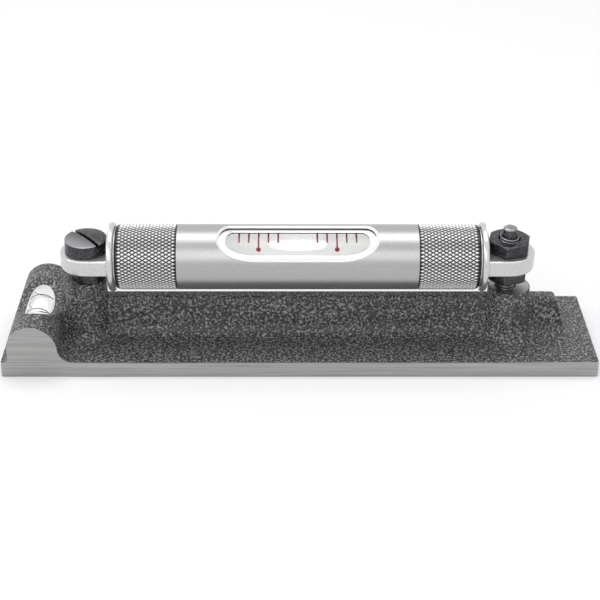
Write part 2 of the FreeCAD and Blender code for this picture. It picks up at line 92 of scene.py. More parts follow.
# ---- node trees ---------------------------------------------------------------------------
class NodeGraph:
    """A node tree with short calls for adding, setting and linking its nodes."""

    def __init__(self, tree: bpy.types.NodeTree) -> None:
        """Take the tree that the calls work on.

        Args:
            tree: Shader or geometry node tree.
        """
        self.tree = tree

    def add(self, kind: str, values: Optional[dict[str, Any]] = None, **settings: Any) -> bpy.types.Node:
        """Add a node.

        Args:
            kind: Node type name.
            values: Defaults or source sockets for its inputs, by input name or number.
            **settings: Properties of the node.

        Returns:
            The new node.
        """
        node = self.tree.nodes.new(kind)
        for name, value in settings.items():
            setattr(node, name, value)
        for name, value in (values or {}).items():
            self.feed(node.inputs[name], value)
        return node

    def feed(self, socket: bpy.types.NodeSocket, value: Any) -> None:
        """Link a socket into an input, or set the input's own value."""
        if isinstance(value, bpy.types.NodeSocket):
            self.tree.links.new(value, socket)
        else:
            socket.default_value = value

    def math(self, operation: str, *values: Any, clamp: bool = False) -> bpy.types.NodeSocket:
        """Add a Math node.

        Args:
            operation: Math operation.
            *values: Numbers or sockets for its inputs in order.
            clamp: Whether the result is held between 0 and 1.

        Returns:
            The result socket.
        """
        node = self.add("ShaderNodeMath", dict(enumerate(values)), operation=operation, use_clamp=clamp)
        return node.outputs[0]

    def combine(self, x: Any, y: Any, z: Any) -> bpy.types.NodeSocket:
        """Return the vector socket made of three numbers or sockets."""
        return self.add("ShaderNodeCombineXYZ", {0: x, 1: y, 2: z}).outputs[0]

    def span(self, value: Any, low: Any, high: Any, to_low: Any = 0.0, to_high: Any = 1.0) -> bpy.types.NodeSocket:
        """Return value mapped smoothly from low..high to to_low..to_high, held at both ends."""
        node = self.add("ShaderNodeMapRange", {0: value, 1: low, 2: high, 3: to_low, 4: to_high},
                        interpolation_type="SMOOTHSTEP")
        return node.outputs[0]


class ShaderGraph(NodeGraph):
    """A material's node tree."""

    def place(self) -> bpy.types.NodeSocket:
        """Return the Object coordinates of the surface, in metres."""
        return self.add("ShaderNodeTexCoord").outputs["Object"]

    def blend(self, factor: Any, first: Any, second: Any) -> bpy.types.NodeSocket:
        """Return the colour socket that goes from first to second as factor goes from 0 to 1."""
        node = self.add("ShaderNodeMix", data_type="RGBA")
        self.feed(node.inputs["Factor"], factor)
        self.feed(node.inputs[6], rgba(first))
        self.feed(node.inputs[7], rgba(second))
        return node.outputs[2]

    def group(self, tree: bpy.types.NodeTree, values: dict[str, Any]) -> bpy.types.Node:
        """Place a shared node group with its own values and return its node."""
        node = self.add("ShaderNodeGroup")
        node.node_tree = tree
        for name, value in values.items():
            self.feed(node.inputs[name], value)
        return node

    def bump(self, height: Any, distance: float, strength: float = 1.0, normal: Any = None) -> bpy.types.NodeSocket:
        """Return the normal of a surface raised by a height.

        Args:
            height: Height socket, 0 to 1.
            distance: Height in metres that 1 stands for.
            strength: Strength of the effect.
            normal: Normal that the bump starts from.

        Returns:
            The normal socket.
        """
        node = self.add("ShaderNodeBump", {"Height": height, "Distance": distance, "Strength": strength})
        if normal is not None:
            self.feed(node.inputs["Normal"], normal)
        return node.outputs["Normal"]


def rgba(colour: Any) -> Any:
    """Return a colour with its alpha, or a socket as it is."""
    if isinstance(colour, bpy.types.NodeSocket):
        return colour
    return (*colour, 1.0)


def new_group(name: str, inputs: dict[str, tuple[str, Any]], outputs: dict[str, str],
              kind: str = "ShaderNodeTree") -> tuple[NodeGraph, bpy.types.Node, bpy.types.Node]:
    """Start a node group.

    Args:
        name: Name of the group.
        inputs: Socket type and default value of each input, by name.
        outputs: Socket type of each output, by name.
        kind: Tree type.

    Returns:
        The group's graph, its input node and its output node.
    """
    tree = bpy.data.node_groups.new(name, kind)
    for label, (socket_type, default) in inputs.items():
        socket = tree.interface.new_socket(label, in_out="INPUT", socket_type=socket_type)
        if default is not None:
            socket.default_value = default
    for label, socket_type in outputs.items():
        tree.interface.new_socket(label, in_out="OUTPUT", socket_type=socket_type)
    graph = NodeGraph(tree)
    return graph, graph.add("NodeGroupInput"), graph.add("NodeGroupOutput")


class SharedEffects:
    """Shader node groups that more than one finish uses, each built once."""

    def __init__(self) -> None:
        """Build every group."""
        self.grain = self._grain()
        self.marks = self._marks()
        self.smudge = self._smudge()

    @staticmethod
    def _grain() -> bpy.types.NodeTree:
        """Return the fine pebbled grain of a blasted or cast surface."""
        graph, given, out = new_group(
            "fine_grain",
            {"Vector": ("NodeSocketVector", None), "Scale": ("NodeSocketFloat", 1000.0),
             "Coarse": ("NodeSocketFloat", 0.5)},
            {"Height": "NodeSocketFloat", "Tone": "NodeSocketFloat"})
        noise = graph.add("ShaderNodeTexNoise", {"Vector": given.outputs[0], "Scale": given.outputs[1],
                                                 "Detail": 3.0, "Roughness": 0.6})
        pebble_scale = graph.math("MULTIPLY", given.outputs[1], 0.8)
        pebble = graph.add("ShaderNodeTexVoronoi", {"Vector": given.outputs[0], "Scale": pebble_scale},
                           feature="SMOOTH_F1")
        round_top = graph.math("SUBTRACT", 1.0, pebble.outputs["Distance"], clamp=True)
        coarse_part = graph.math("MULTIPLY", round_top, given.outputs[2])
        fine_share = graph.math("SUBTRACT", 1.0, given.outputs[2])
        fine_part = graph.math("MULTIPLY", noise.outputs["Fac"], fine_share)
        graph.feed(out.inputs["Height"], graph.math("ADD", coarse_part, fine_part))
        graph.feed(out.inputs["Tone"], graph.span(noise.outputs["Fac"], 0.3, 0.7))
        return graph.tree

    @staticmethod
    def _marks() -> bpy.types.NodeTree:
        """Return the fine lines that grinding or turning leaves."""
        graph, given, out = new_group(
            "tool_marks",
            {"Vector": ("NodeSocketVector", None), "Stretch": ("NodeSocketVector", (30.0, 2600.0, 2600.0))},
            {"Height": "NodeSocketFloat", "Tone": "NodeSocketFloat"})
        stretched = graph.add("ShaderNodeVectorMath", {0: given.outputs[0], 1: given.outputs[1]},
                              operation="MULTIPLY").outputs[0]
        fine = graph.add("ShaderNodeTexNoise", {"Vector": stretched, "Scale": 1.0, "Detail": 4.0, "Roughness": 0.7})
        broad = graph.add("ShaderNodeTexNoise", {"Vector": stretched, "Scale": 0.23, "Detail": 2.0})
        height = graph.math("ADD", graph.math("MULTIPLY", fine.outputs["Fac"], 0.86),
                            graph.math("MULTIPLY", broad.outputs["Fac"], 0.14))
        graph.feed(out.inputs["Height"], height)
        graph.feed(out.inputs["Tone"], graph.span(height, 0.35, 0.65))
        return graph.tree

    @staticmethod
    def _smudge() -> bpy.types.NodeTree:
        """Return the slow, uneven change of gloss that handling leaves."""
        graph, given, out = new_group(
            "handling_smudge",
            {"Vector": ("NodeSocketVector", None), "Scale": ("NodeSocketFloat", 60.0),
             "Low": ("NodeSocketFloat", 0.3), "High": ("NodeSocketFloat", 0.4)},
            {"Gloss": "NodeSocketFloat"})
        noise = graph.add("ShaderNodeTexNoise", {"Vector": given.outputs[0], "Scale": given.outputs[1],
                                                 "Detail": 3.0, "Distortion": 0.6})
        gloss = graph.span(noise.outputs["Fac"], 0.3, 0.7, given.outputs[2], given.outputs[3])
        graph.feed(out.inputs["Gloss"], gloss)
        return graph.tree


EFFECTS = SharedEffects()


# ---- finishes --------------------------------------------------------------------------------
class Finish:
    """A finish that builds one material the first time that it is asked for."""

    name: str = "finish"

    def material(self) -> bpy.types.Material:
        """Return the finish's material, built on first use."""
        known = bpy.data.materials.get(self.name)
        if known is not None and known.get("dressed"):
            return known
        material = bpy.data.materials.new(self.name)
        material.name = self.name
        material.use_nodes = True
        material["dressed"] = True
        material.node_tree.nodes.clear()
        graph = ShaderGraph(material.node_tree)
        shader = graph.add("ShaderNodeBsdfPrincipled")
        output = graph.add("ShaderNodeOutputMaterial")
        graph.feed(output.inputs["Surface"], shader.outputs["BSDF"])
        self.dress(graph, shader)
        return material

    def dress(self, graph: ShaderGraph, shader: bpy.types.Node) -> None:
        """Set and feed the shader's sockets.

        Args:
            graph: The material's graph.
            shader: Its Principled shader.
        """
        raise NotImplementedError


@dataclass(frozen=True)
class CastingFinish(Finish):
    """Wrinkle-painted iron with faces that are ground bright after painting, and painted glints of light on the
    paint's wrinkles.
    """

    name: str = "wrinkle_painted_casting"
    paint: Colour = (0.004, 0.004, 0.005)
    # Lightest tone of the paint's speckles: a painted glint
    paint_glint: Colour = (0.42, 0.42, 0.425)
    bright: Colour = (0.42, 0.42, 0.415)
    bright_low: Colour = (0.30, 0.30, 0.295)
    pebble_mm: float = 0.6
    speckle_mm: float = 0.55
    pebble_height_mm: float = 0.2
    edge_line_mm: float = 0.28
    half_width_mm: float = 16.2
    boss_top_mm: float = 17.8

    def dress(self, graph: ShaderGraph, shader: bpy.types.Node) -> None:
        """Paint everything but the sides, the sole and the right pedestal's top.

        Args:
            graph: The material's graph.
            shader: Its Principled shader.
        """
        place = graph.place()
        axes = graph.add("ShaderNodeSeparateXYZ", {0: place})
        facing = graph.add("ShaderNodeSeparateXYZ", {0: graph.add("ShaderNodeNewGeometry").outputs["True Normal"]})
        side = graph.math("ABSOLUTE", axes.outputs["Y"])
        wander = graph.add("ShaderNodeTexNoise", {"Vector": place, "Scale": 900.0, "Detail": 2.0})
        ragged = graph.math("MULTIPLY_ADD", wander.outputs["Fac"], 0.3 * MM, -0.15 * MM)
        edge = graph.math("ADD", side, ragged)
        limit = (self.half_width_mm - self.edge_line_mm) * MM
        on_side = graph.math("GREATER_THAN", edge, limit)
        on_sole = graph.math("LESS_THAN", facing.outputs["Z"], -0.3)
        level_top = graph.math("GREATER_THAN", facing.outputs["Z"], 0.995)
        at_top = graph.math("COMPARE", axes.outputs["Z"], self.boss_top_mm * MM, 0.03 * MM)
        on_boss = graph.math("MULTIPLY", level_top, at_top)
        ground = graph.math("MAXIMUM", graph.math("MAXIMUM", on_side, on_sole), on_boss)

        grain = graph.group(EFFECTS.grain, {"Vector": place, "Scale": 1.0 / (self.pebble_mm * MM), "Coarse": 0.55})
        marks = graph.group(EFFECTS.marks, {"Vector": place, "Stretch": Direction.ALONG.value})
        speckle = graph.add("ShaderNodeTexNoise", {"Vector": place, "Scale": 1.0 / (self.speckle_mm * MM),
                                                   "Detail": 2.0})
        # Painted glints: bright speckles in the black paint stand in for light caught by its wrinkles; the same mask
        # raises the wrinkles in the bump.
        wrinkle_and_glint = graph.span(speckle.outputs["Fac"], 0.47, 0.64)
        paint_and_glint_tone = graph.math("MULTIPLY_ADD", wrinkle_and_glint, 0.8, graph.math("MULTIPLY", grain.outputs["Tone"], 0.2))
        painted = graph.blend(paint_and_glint_tone, self.paint, self.paint_glint)
        bright = graph.blend(marks.outputs["Tone"], self.bright_low, self.bright)
        graph.feed(shader.inputs["Base Color"], graph.blend(ground, painted, bright))
        graph.feed(shader.inputs["Metallic"], ground)
        paint_gloss = graph.math("MULTIPLY_ADD", grain.outputs["Tone"], -0.12, 0.52)
        bright_gloss = graph.math("MULTIPLY_ADD", marks.outputs["Tone"], -0.1, 0.42)
        gloss = graph.add("ShaderNodeMix", data_type="FLOAT")
        graph.feed(gloss.inputs["Factor"], ground)
        graph.feed(gloss.inputs[2], paint_gloss)
        graph.feed(gloss.inputs[3], bright_gloss)
        graph.feed(shader.inputs["Roughness"], gloss.outputs[0])
        lumps = graph.math("ADD", grain.outputs["Height"], wrinkle_and_glint)
        pebbles = graph.math("MULTIPLY", lumps, graph.math("SUBTRACT", 1.0, ground))
        normal = graph.bump(pebbles, self.pebble_height_mm * MM)
        lines = graph.math("MULTIPLY", marks.outputs["Height"], ground)
        graph.feed(shader.inputs["Normal"], graph.bump(lines, 0.006 * MM, normal=normal))


@dataclass(frozen=True)
class PlateFinish(Finish):
    """Satin or polished nickel plate with a fine grain."""

    name: str = "satin_nickel"
    low: Colour = (0.38, 0.38, 0.384)
    high: Colour = (0.48, 0.48, 0.484)
    gloss_low: float = 0.28
    gloss_high: float = 0.34
    metallic: float = 0.8
    grain_mm: float = 0.22
    grain_height_mm: float = 0.012
    valley_mm: float = 0.0
    crest_mm: float = 8.3
    axis_height_mm: float = 26.05
    # Colour of the painted shade in a knurl's valleys and the cover's recesses
    valley_shade: Colour = (0.03, 0.03, 0.032)

    def dress(self, graph: ShaderGraph, shader: bpy.types.Node) -> None:
        """Give the plate its grain, and paint shade into a knurl's valleys and other surfaces nearer the axis.

        Args:
            graph: The material's graph.
            shader: Its Principled shader.
        """
        place = graph.place()
        grain = graph.group(EFFECTS.grain, {"Vector": place, "Scale": 1.0 / (self.grain_mm * MM), "Coarse": 0.35})
        smudge = graph.group(EFFECTS.smudge, {"Vector": place, "Low": self.gloss_low, "High": self.gloss_high})
        colour = graph.blend(grain.outputs["Tone"], self.low, self.high)
        gloss = smudge.outputs["Gloss"]
        shader.inputs["Metallic"].default_value = self.metallic
        # Painted shade: surfaces nearer the axis than the top radius darken towards the shade colour.
        if self.valley_mm:
            axes = graph.add("ShaderNodeSeparateXYZ", {0: place})
            up = graph.math("SUBTRACT", axes.outputs["Z"], self.axis_height_mm * MM)
            radius = graph.math("SQRT", graph.math("ADD", graph.math("POWER", up, 2.0),
                                                   graph.math("POWER", axes.outputs["Y"], 2.0)))
            unshaded = graph.span(radius, self.valley_mm * MM, self.crest_mm * MM)
            colour = graph.blend(unshaded, self.valley_shade, colour)
        graph.feed(shader.inputs["Base Color"], colour)
        graph.feed(shader.inputs["Roughness"], gloss)
        graph.feed(shader.inputs["Normal"], graph.bump(grain.outputs["Height"], self.grain_height_mm * MM))


@dataclass(frozen=True)
class BlackedSteelFinish(Finish):
    """Oil-blackened steel with turning marks, lighter worn patches and, on a head, a painted highlight."""

    name: str = "blackened_steel"
    dark: Colour = (0.030, 0.031, 0.034)
    wear_and_sheen: Colour = (0.13, 0.132, 0.14)
    gloss: tuple[float, float] = (0.2, 0.3)
    marks_height_mm: float = 0.006
    head_axis_mm: Optional[float] = None
    head_radius_mm: float = 5.3
    painted_sheen: Colour = (0.34, 0.345, 0.36)

    def dress(self, graph: ShaderGraph, shader: bpy.types.Node) -> None:
        """Darken the steel, with marks, worn patches and a head's painted highlight.

        Args:
            graph: The material's graph.
            shader: Its Principled shader.
        """
        place = graph.place()
        marks = graph.group(EFFECTS.marks, {"Vector": place, "Stretch": (900.0, 900.0, 2600.0)})
        grain = graph.group(EFFECTS.grain, {"Vector": place, "Scale": 2400.0, "Coarse": 0.3})
        smudge = graph.group(EFFECTS.smudge, {"Vector": place, "Scale": 220.0,
                                              "Low": self.gloss[0], "High": self.gloss[1]})
        tone = graph.math("MULTIPLY", marks.outputs["Tone"], grain.outputs["Tone"])
        colour = graph.blend(tone, self.dark, self.wear_and_sheen)
        # Painted highlight: a head's top is painted lighter towards its front left, standing in for light on its
        # turned face.
        if self.head_axis_mm is not None:
            colour = graph.blend(self._painted_sheen_share(graph, place), colour, self.painted_sheen)
        graph.feed(shader.inputs["Base Color"], colour)
        shader.inputs["Metallic"].default_value = 0.8
        graph.feed(shader.inputs["Roughness"], smudge.outputs["Gloss"])
        graph.feed(shader.inputs["Normal"], graph.bump(marks.outputs["Height"], self.marks_height_mm * MM))


    def _painted_sheen_share(self, graph: ShaderGraph, place: Any) -> bpy.types.NodeSocket:
        """Return how strongly a turned head's top is painted lighter as a highlight: most on its front left, and
        only on its top.
        """
        axes = graph.add("ShaderNodeSeparateXYZ", {0: place})
        facing = graph.add("ShaderNodeSeparateXYZ", {0: graph.add("ShaderNodeNewGeometry").outputs["True Normal"]})
        left = graph.math("MULTIPLY", graph.math("SUBTRACT", axes.outputs["X"], self.head_axis_mm * MM), -0.5)
        toward = graph.math("MULTIPLY_ADD", axes.outputs["Y"], -0.86, left)
        reach = self.head_radius_mm * MM
        wear_and_sheen = graph.span(toward, -0.3 * reach, 0.95 * reach)
        return graph.math("MULTIPLY", wear_and_sheen, graph.math("GREATER_THAN", facing.outputs["Z"], 0.9))


@dataclass(frozen=True)
class GlassFinish(Finish):
    """Clear glass or spirit, very slightly uneven."""

    name: str = "vial_glass"
    tint: Colour = (0.985, 0.99, 0.99)
    tint_low: Colour = (0.96, 0.97, 0.97)
    index: float = 1.2
    ripple_mm: float = 0.002

    def dress(self, graph: ShaderGraph, shader: bpy.types.Node) -> None:
        """Make the shader transparent, with a faint ripple.

        Args:
            graph: The material's graph.
            shader: Its Principled shader.
        """
        place = graph.place()
        smudge = graph.group(EFFECTS.smudge, {"Vector": place, "Scale": 90.0, "Low": 0.0, "High": 1.0})
        graph.feed(shader.inputs["Base Color"], graph.blend(smudge.outputs["Gloss"], self.tint, self.tint_low))
        shader.inputs["Roughness"].default_value = 0.0
        shader.inputs["IOR"].default_value = self.index
        shader.inputs["Transmission Weight"].default_value = 1.0
        path = graph.add("ShaderNodeLightPath")
        unseen = graph.math("MAXIMUM", path.outputs["Is Shadow Ray"], path.outputs["Is Diffuse Ray"])
        graph.feed(shader.inputs["Alpha"], graph.math("SUBTRACT", 1.0, unseen))
        graph.feed(shader.inputs["Normal"], graph.bump(smudge.outputs["Gloss"], self.ripple_mm * MM))


@dataclass(frozen=True)
class BubbleFinish(Finish):
    """Air bubble, clear in the middle and milky where its skin turns away, with painted light as emission."""

    name: str = "air_bubble"
    skin: Colour = (0.97, 0.97, 0.98)
    skin_low: Colour = (0.90, 0.91, 0.92)
    clear: float = 0.75
    milky: float = 1.0
    painted_glow: float = 0.3

    def dress(self, graph: ShaderGraph, shader: bpy.types.Node) -> None:
        """Let the bubble's rim show and its middle stay clear.

        Args:
            graph: The material's graph.
            shader: Its Principled shader.
        """
        place = graph.place()
        smudge = graph.group(EFFECTS.smudge, {"Vector": place, "Scale": 200.0, "Low": 0.0, "High": 1.0})
        graph.feed(shader.inputs["Base Color"], graph.blend(smudge.outputs["Gloss"], self.skin, self.skin_low))
        facing = graph.add("ShaderNodeLayerWeight", {"Blend": 0.45})
        graph.feed(shader.inputs["Alpha"],
                   graph.span(facing.outputs["Facing"], 0.25, 0.85, self.clear, self.milky))
        shader.inputs["Roughness"].default_value = 0.08
        shader.inputs["Coat Weight"].default_value = 0.6
        # Painted light: emission in the skin's colour stands in for the light that the vial's glass gathers.
        shader.inputs["Emission Color"].default_value = rgba(self.skin)
        shader.inputs["Emission Strength"].default_value = self.painted_glow
        graph.feed(shader.inputs["Normal"], graph.bump(smudge.outputs["Gloss"], 0.002 * MM))


@dataclass(frozen=True)
class MatteFinish(Finish):
    """Matte packing, enamel or plaster with a soft grain."""

    name: str = "white_packing"
    low: Colour = (0.80, 0.80, 0.79)
    high: Colour = (0.90, 0.90, 0.89)
    gloss: tuple[float, float] = (0.55, 0.75)
    grain_mm: float = 0.35
    grain_height_mm: float = 0.02
    metallic: float = 0.0
    painted_glow: float = 0.0

    def dress(self, graph: ShaderGraph, shader: bpy.types.Node) -> None:
        """Give the filling its grain, and emission as painted light standing in for the light that the vial's glass
        gathers on it.

        Args:
            graph: The material's graph.
            shader: Its Principled shader.
        """
        place = graph.place()
        grain = graph.group(EFFECTS.grain, {"Vector": place, "Scale": 1.0 / (self.grain_mm * MM), "Coarse": 0.4})
        smudge = graph.group(EFFECTS.smudge, {"Vector": place, "Scale": 150.0,
                                              "Low": self.gloss[0], "High": self.gloss[1]})
        graph.feed(shader.inputs["Base Color"], graph.blend(grain.outputs["Tone"], self.low, self.high))
        graph.feed(shader.inputs["Roughness"], smudge.outputs["Gloss"])
        shader.inputs["Metallic"].default_value = self.metallic
        # Painted light: emission stands in for the light that the vial's glass gathers.
        shader.inputs["Emission Color"].default_value = rgba(self.high)
        shader.inputs["Emission Strength"].default_value = self.painted_glow
        graph.feed(shader.inputs["Normal"], graph.bump(grain.outputs["Height"], self.grain_height_mm * MM))


SATIN = PlateFinish()
PALE = PlateFinish(name="pale_nickel", low=(0.70, 0.70, 0.70), high=(0.80, 0.80, 0.80), gloss_low=0.4,
                   gloss_high=0.5)
# Cover nickel with painted shade below a radius of 8.17 mm: the band root under the teeth and the bore.
COVER_PLATE = PlateFinish(name="satin_nickel_cover_painted_shade", valley_mm=8.17)
# Knurled nickel: teeth painted lighter than the cover as a painted highlight, with painted shade in the valleys.
KNURL_HIGHLIT_PLATE = PlateFinish(name="knurled_nickel_highlit_shaded", low=(0.66, 0.66, 0.66), high=(0.80, 0.80, 0.80), valley_mm=8.17,
                          crest_mm=8.32, gloss_low=0.26, gloss_high=0.34)
POLISHED = PlateFinish(name="bright_nickel", low=(0.56, 0.56, 0.565), high=(0.66, 0.66, 0.665),
                       gloss_low=0.22, gloss_high=0.3, grain_mm=0.4, grain_height_mm=0.006)
# Window bevels and side walls: bare cut metal, painted near white as a highlight.
CUT_EDGE_HIGHLIT = PlateFinish(name="cut_edge_painted_highlight", low=(0.86, 0.86, 0.86), high=(0.94, 0.94, 0.94),
                       gloss_low=0.28, gloss_high=0.36, grain_mm=0.4, grain_height_mm=0.003)
# Rear walls of the windows, which face the front: painted shade, near black.
PAINTED_SHADE_WALL = PlateFinish(name="window_wall_painted_shade", low=(0.012, 0.012, 0.013), high=(0.03, 0.03, 0.032),
                        gloss_low=0.5, gloss_high=0.6)
BLACKED = BlackedSteelFinish()
# Screw head: blackened steel with a painted highlight on the front left of its top.
SCREW_HEAD = BlackedSteelFinish(name="blackened_screw", head_axis_mm=-54.4)
# Lighter steel for broken edges, the stud's tip and its thread: worn steel with a painted highlight.
RUBBED_HIGHLIT = BlackedSteelFinish(name="rubbed_steel_painted_highlight", dark=(0.22, 0.222, 0.23), wear_and_sheen=(0.5, 0.505, 0.52))
CASTING = CastingFinish()
GLASS = GlassFinish()
SPIRIT = GlassFinish(name="clear_spirit", tint=(0.985, 0.99, 0.985), tint_low=(0.97, 0.98, 0.975), index=1.08)
BUBBLE = BubbleFinish()
# White packing with emission as painted light; the beds, the vial plugs and the cross vial's backing use it.
PACKING = MatteFinish(painted_glow=0.42)
PLUG = MatteFinish(name="plug_brass", low=(0.50, 0.36, 0.15), high=(0.62, 0.46, 0.2), gloss=(0.3, 0.42),
                   grain_height_mm=0.008, metallic=1.0)
RED_ENAMEL = MatteFinish(name="red_enamel", low=(0.19, 0.006, 0.014), high=(0.27, 0.012, 0.024),
                         gloss=(0.35, 0.5), grain_mm=0.2, grain_height_mm=0.004)
BLACK_ENAMEL = MatteFinish(name="black_enamel", low=(0.012, 0.012, 0.013), high=(0.025, 0.025, 0.026),
                           gloss=(0.35, 0.5), grain_mm=0.2, grain_height_mm=0.004)


# ---- meshes -----------------------------------------------------------------------------------
def own_object(name: str, mesh: bpy.types.Mesh, finish: Finish) -> bpy.types.Object:
    """Link a mesh into the scene as a finished piece.

    Args:
        name: Name of the piece.
        mesh: Its mesh, with its place in its vertices.
        finish: Its finish.

    Returns:
        The new object, at the origin.
    """
    mesh.name = name
    mesh.materials.clear()
    mesh.materials.append(finish.material())
    piece = bpy.data.objects.new(name, mesh)
    bpy.context.scene.collection.objects.link(piece)
    return piece


def turned(name: str, profile: Sequence[tuple[float, float]], steps: int, finish: Finish,
           place: Matrix, smooth: bool = True) -> bpy.types.Object:
    """Make a turned part from its half section.

    Args:
        name: Name of the piece.
        profile: Radius and height pairs from the lower pole to the upper one, in millimetres.
        steps: Faces round the axis.
        finish: Its finish.
        place: Matrix that stands the part in its place, in metres.
        smooth: Whether the faces are shaded smooth.

    Returns:
        The closed piece.
    """
    shape = bmesh.new()
    rings = []
    for radius, height in profile:
        if radius <= 0.0:
            rings.append([shape.verts.new((0.0, 0.0, height * MM))])
            continue
        turn = [2.0 * math.pi * k / steps for k in range(steps)]
        rings.append([shape.verts.new((radius * MM * math.cos(a), radius * MM * math.sin(a), height * MM))
                      for a in turn])
    for low, high in zip(rings, rings[1:]):
        for k in range(steps):
            ahead = (k + 1) % steps
            corners = [low[k % len(low)], low[ahead % len(low)], high[ahead % len(high)], high[k % len(high)]]
            shape.faces.new(list(dict.fromkeys(corners)))
    bmesh.ops.recalc_face_normals(shape, faces=shape.faces)
    bmesh.ops.transform(shape, matrix=place, verts=shape.verts)
    for face in shape.faces:
        face.smooth = smooth
    mesh = bpy.data.meshes.new(name)
    shape.to_mesh(mesh)
    shape.free()
    return own_object(name, mesh, finish)


def shade_by_angle(mesh: bpy.types.Mesh, limit_deg: float = 32.0) -> None:
    """Shade a mesh smooth, apart from edges sharper than a limit."""
    shape = bmesh.new()
    shape.from_mesh(mesh)
    bmesh.ops.remove_doubles(shape, verts=shape.verts, dist=1e-7)
    for face in shape.faces:
        face.smooth = True
    for edge in shape.edges:
        edge.smooth = edge.calc_face_angle(0.0) < math.radians(limit_deg)
    shape.to_mesh(mesh)
    shape.free()


def loop_solid(loops: Sequence[Sequence[Vector]], closed: bool = False) -> bpy.types.Mesh:
    """Make a closed mesh from loops of equally many points.

    Args:
        loops: Loops in order, in metres.
        closed: Whether the last loop joins the first; otherwise both ends are capped.

    Returns:
        The mesh, its faces outward.
    """
    shape = bmesh.new()
    rings = [[shape.verts.new(point) for point in loop] for loop in loops]
    pairs = list(zip(rings, rings[1:])) + ([(rings[-1], rings[0])] if closed else [])
    for low, high in pairs:
        for k, corner in enumerate(low):
            ahead = (k + 1) % len(low)
            shape.faces.new([corner, low[ahead], high[ahead], high[k]])
    if not closed:
        shape.faces.new(rings[0])
        shape.faces.new(rings[-1])
    bmesh.ops.recalc_face_normals(shape, faces=shape.faces)
    mesh = bpy.data.meshes.new("loop_solid")
    shape.to_mesh(mesh)
    shape.free()
    return mesh


def carved(blank: bpy.types.Mesh, cutter: bpy.types.Mesh) -> bpy.types.Mesh:
    """Return the blank with the cutter taken out of it."""
    holders = [bpy.data.objects.new("carving", mesh) for mesh in (blank, cutter)]
    for holder in holders:
        bpy.context.scene.collection.objects.link(holder)
    modifier = holders[0].modifiers.new("carve", "BOOLEAN")
    modifier.operation = "DIFFERENCE"
    modifier.solver = "EXACT"
    modifier.object = holders[1]
    bpy.context.view_layer.update()
    evaluated = holders[0].evaluated_get(bpy.context.evaluated_depsgraph_get())
    mesh = bpy.data.meshes.new_from_object(evaluated)
    for holder in holders:
        bpy.data.objects.remove(holder)
    return mesh


def solid_copy(node: str) -> bmesh.types.BMesh:
    """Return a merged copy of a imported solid's mesh."""
    shape = bmesh.new()
    shape.from_mesh(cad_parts[node].data)
    bmesh.ops.remove_doubles(shape, verts=shape.verts, dist=1e-6)
    bmesh.ops.dissolve_limit(shape, angle_limit=math.radians(0.6), verts=shape.verts, edges=shape.edges)
    return shape


def soften(shape: bmesh.types.BMesh, width: float, keep: Callable[[bmesh.types.BMEdge], bool]) -> None:
    """Round the sharp edges that are kept by a test.

    Args:
        shape: Merged mesh, in metres.
        width: Width of the rounding, in millimetres.
        keep: Test that an edge passes to be rounded.
    """
    edges = [edge for edge in shape.edges
             if edge.calc_face_angle(0.0) > math.radians(25.0) and keep(edge)]
    rounded = bmesh.ops.bevel(shape, geom=edges, offset=width * MM, offset_type="OFFSET", segments=2,
                              profile=0.6, affect="EDGES", clamp_overlap=True)
    # The rounded faces take the second material; for steel it is worn steel with a painted highlight.
    for face in rounded["faces"]:
        face.material_index = 1


def finished_copy(name: str, shape: bmesh.types.BMesh, node: str, body: Body, slot: str,
                  finish: Finish) -> bpy.types.Object:
    """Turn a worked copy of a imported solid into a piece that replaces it."""
    mesh = bpy.data.meshes.new(name)
    shape.to_mesh(mesh)
    shape.free()
    shade_by_angle(mesh)
    kinds = [face.material_index for face in mesh.polygons]
    piece = own_object(name, mesh, finish)
    # Steel pieces get worn steel with a painted highlight on their rounded edges.
    if slot == "black_steel":
        mesh.materials.append(RUBBED_HIGHLIT.material())
        mesh.polygons.foreach_set("material_index", kinds)
    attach(piece, body.value)
    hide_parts(node)
    return piece


def grow(name: str, tree: bpy.types.NodeTree, values: dict[str, Any], finish: Finish) -> bpy.types.Object:
    """Run a geometry tree once and keep its result as a plain mesh.

    Args:
        name: Name of the piece.
        tree: Geometry node tree.
        values: Values of its inputs, by name.
        finish: Finish that its Material input gets.

    Returns:
        The finished piece, with no modifier on it.
    """
    holder = bpy.data.objects.new(name + "_source", bpy.data.meshes.new(name + "_source"))
    bpy.context.scene.collection.objects.link(holder)
    modifier = holder.modifiers.new("grow", "NODES")
    modifier.node_group = tree
    keys = {item.name: item.identifier for item in tree.interface.items_tree
            if item.item_type == "SOCKET" and item.in_out == "INPUT"}
    for label, value in {**values, "Material": finish.material()}.items():
        modifier[keys[label]] = value
    bpy.context.view_layer.update()
    evaluated = holder.evaluated_get(bpy.context.evaluated_depsgraph_get())
    mesh = bpy.data.meshes.new_from_object(evaluated)
    bpy.data.objects.remove(holder)
    return own_object(name, mesh, finish)


def finish_tree(graph: NodeGraph, geometry: bpy.types.NodeSocket, given: bpy.types.Node,
                out: bpy.types.Node) -> None:
    """End a geometry tree in Realize Instances and Set Material."""
    real = graph.add("GeometryNodeRealizeInstances", {0: geometry})
    dressed = graph.add("GeometryNodeSetMaterial", {"Geometry": real.outputs[0],
                                                    "Material": given.outputs["Material"]})
    graph.feed(out.inputs["Geometry"], dressed.outputs[0])


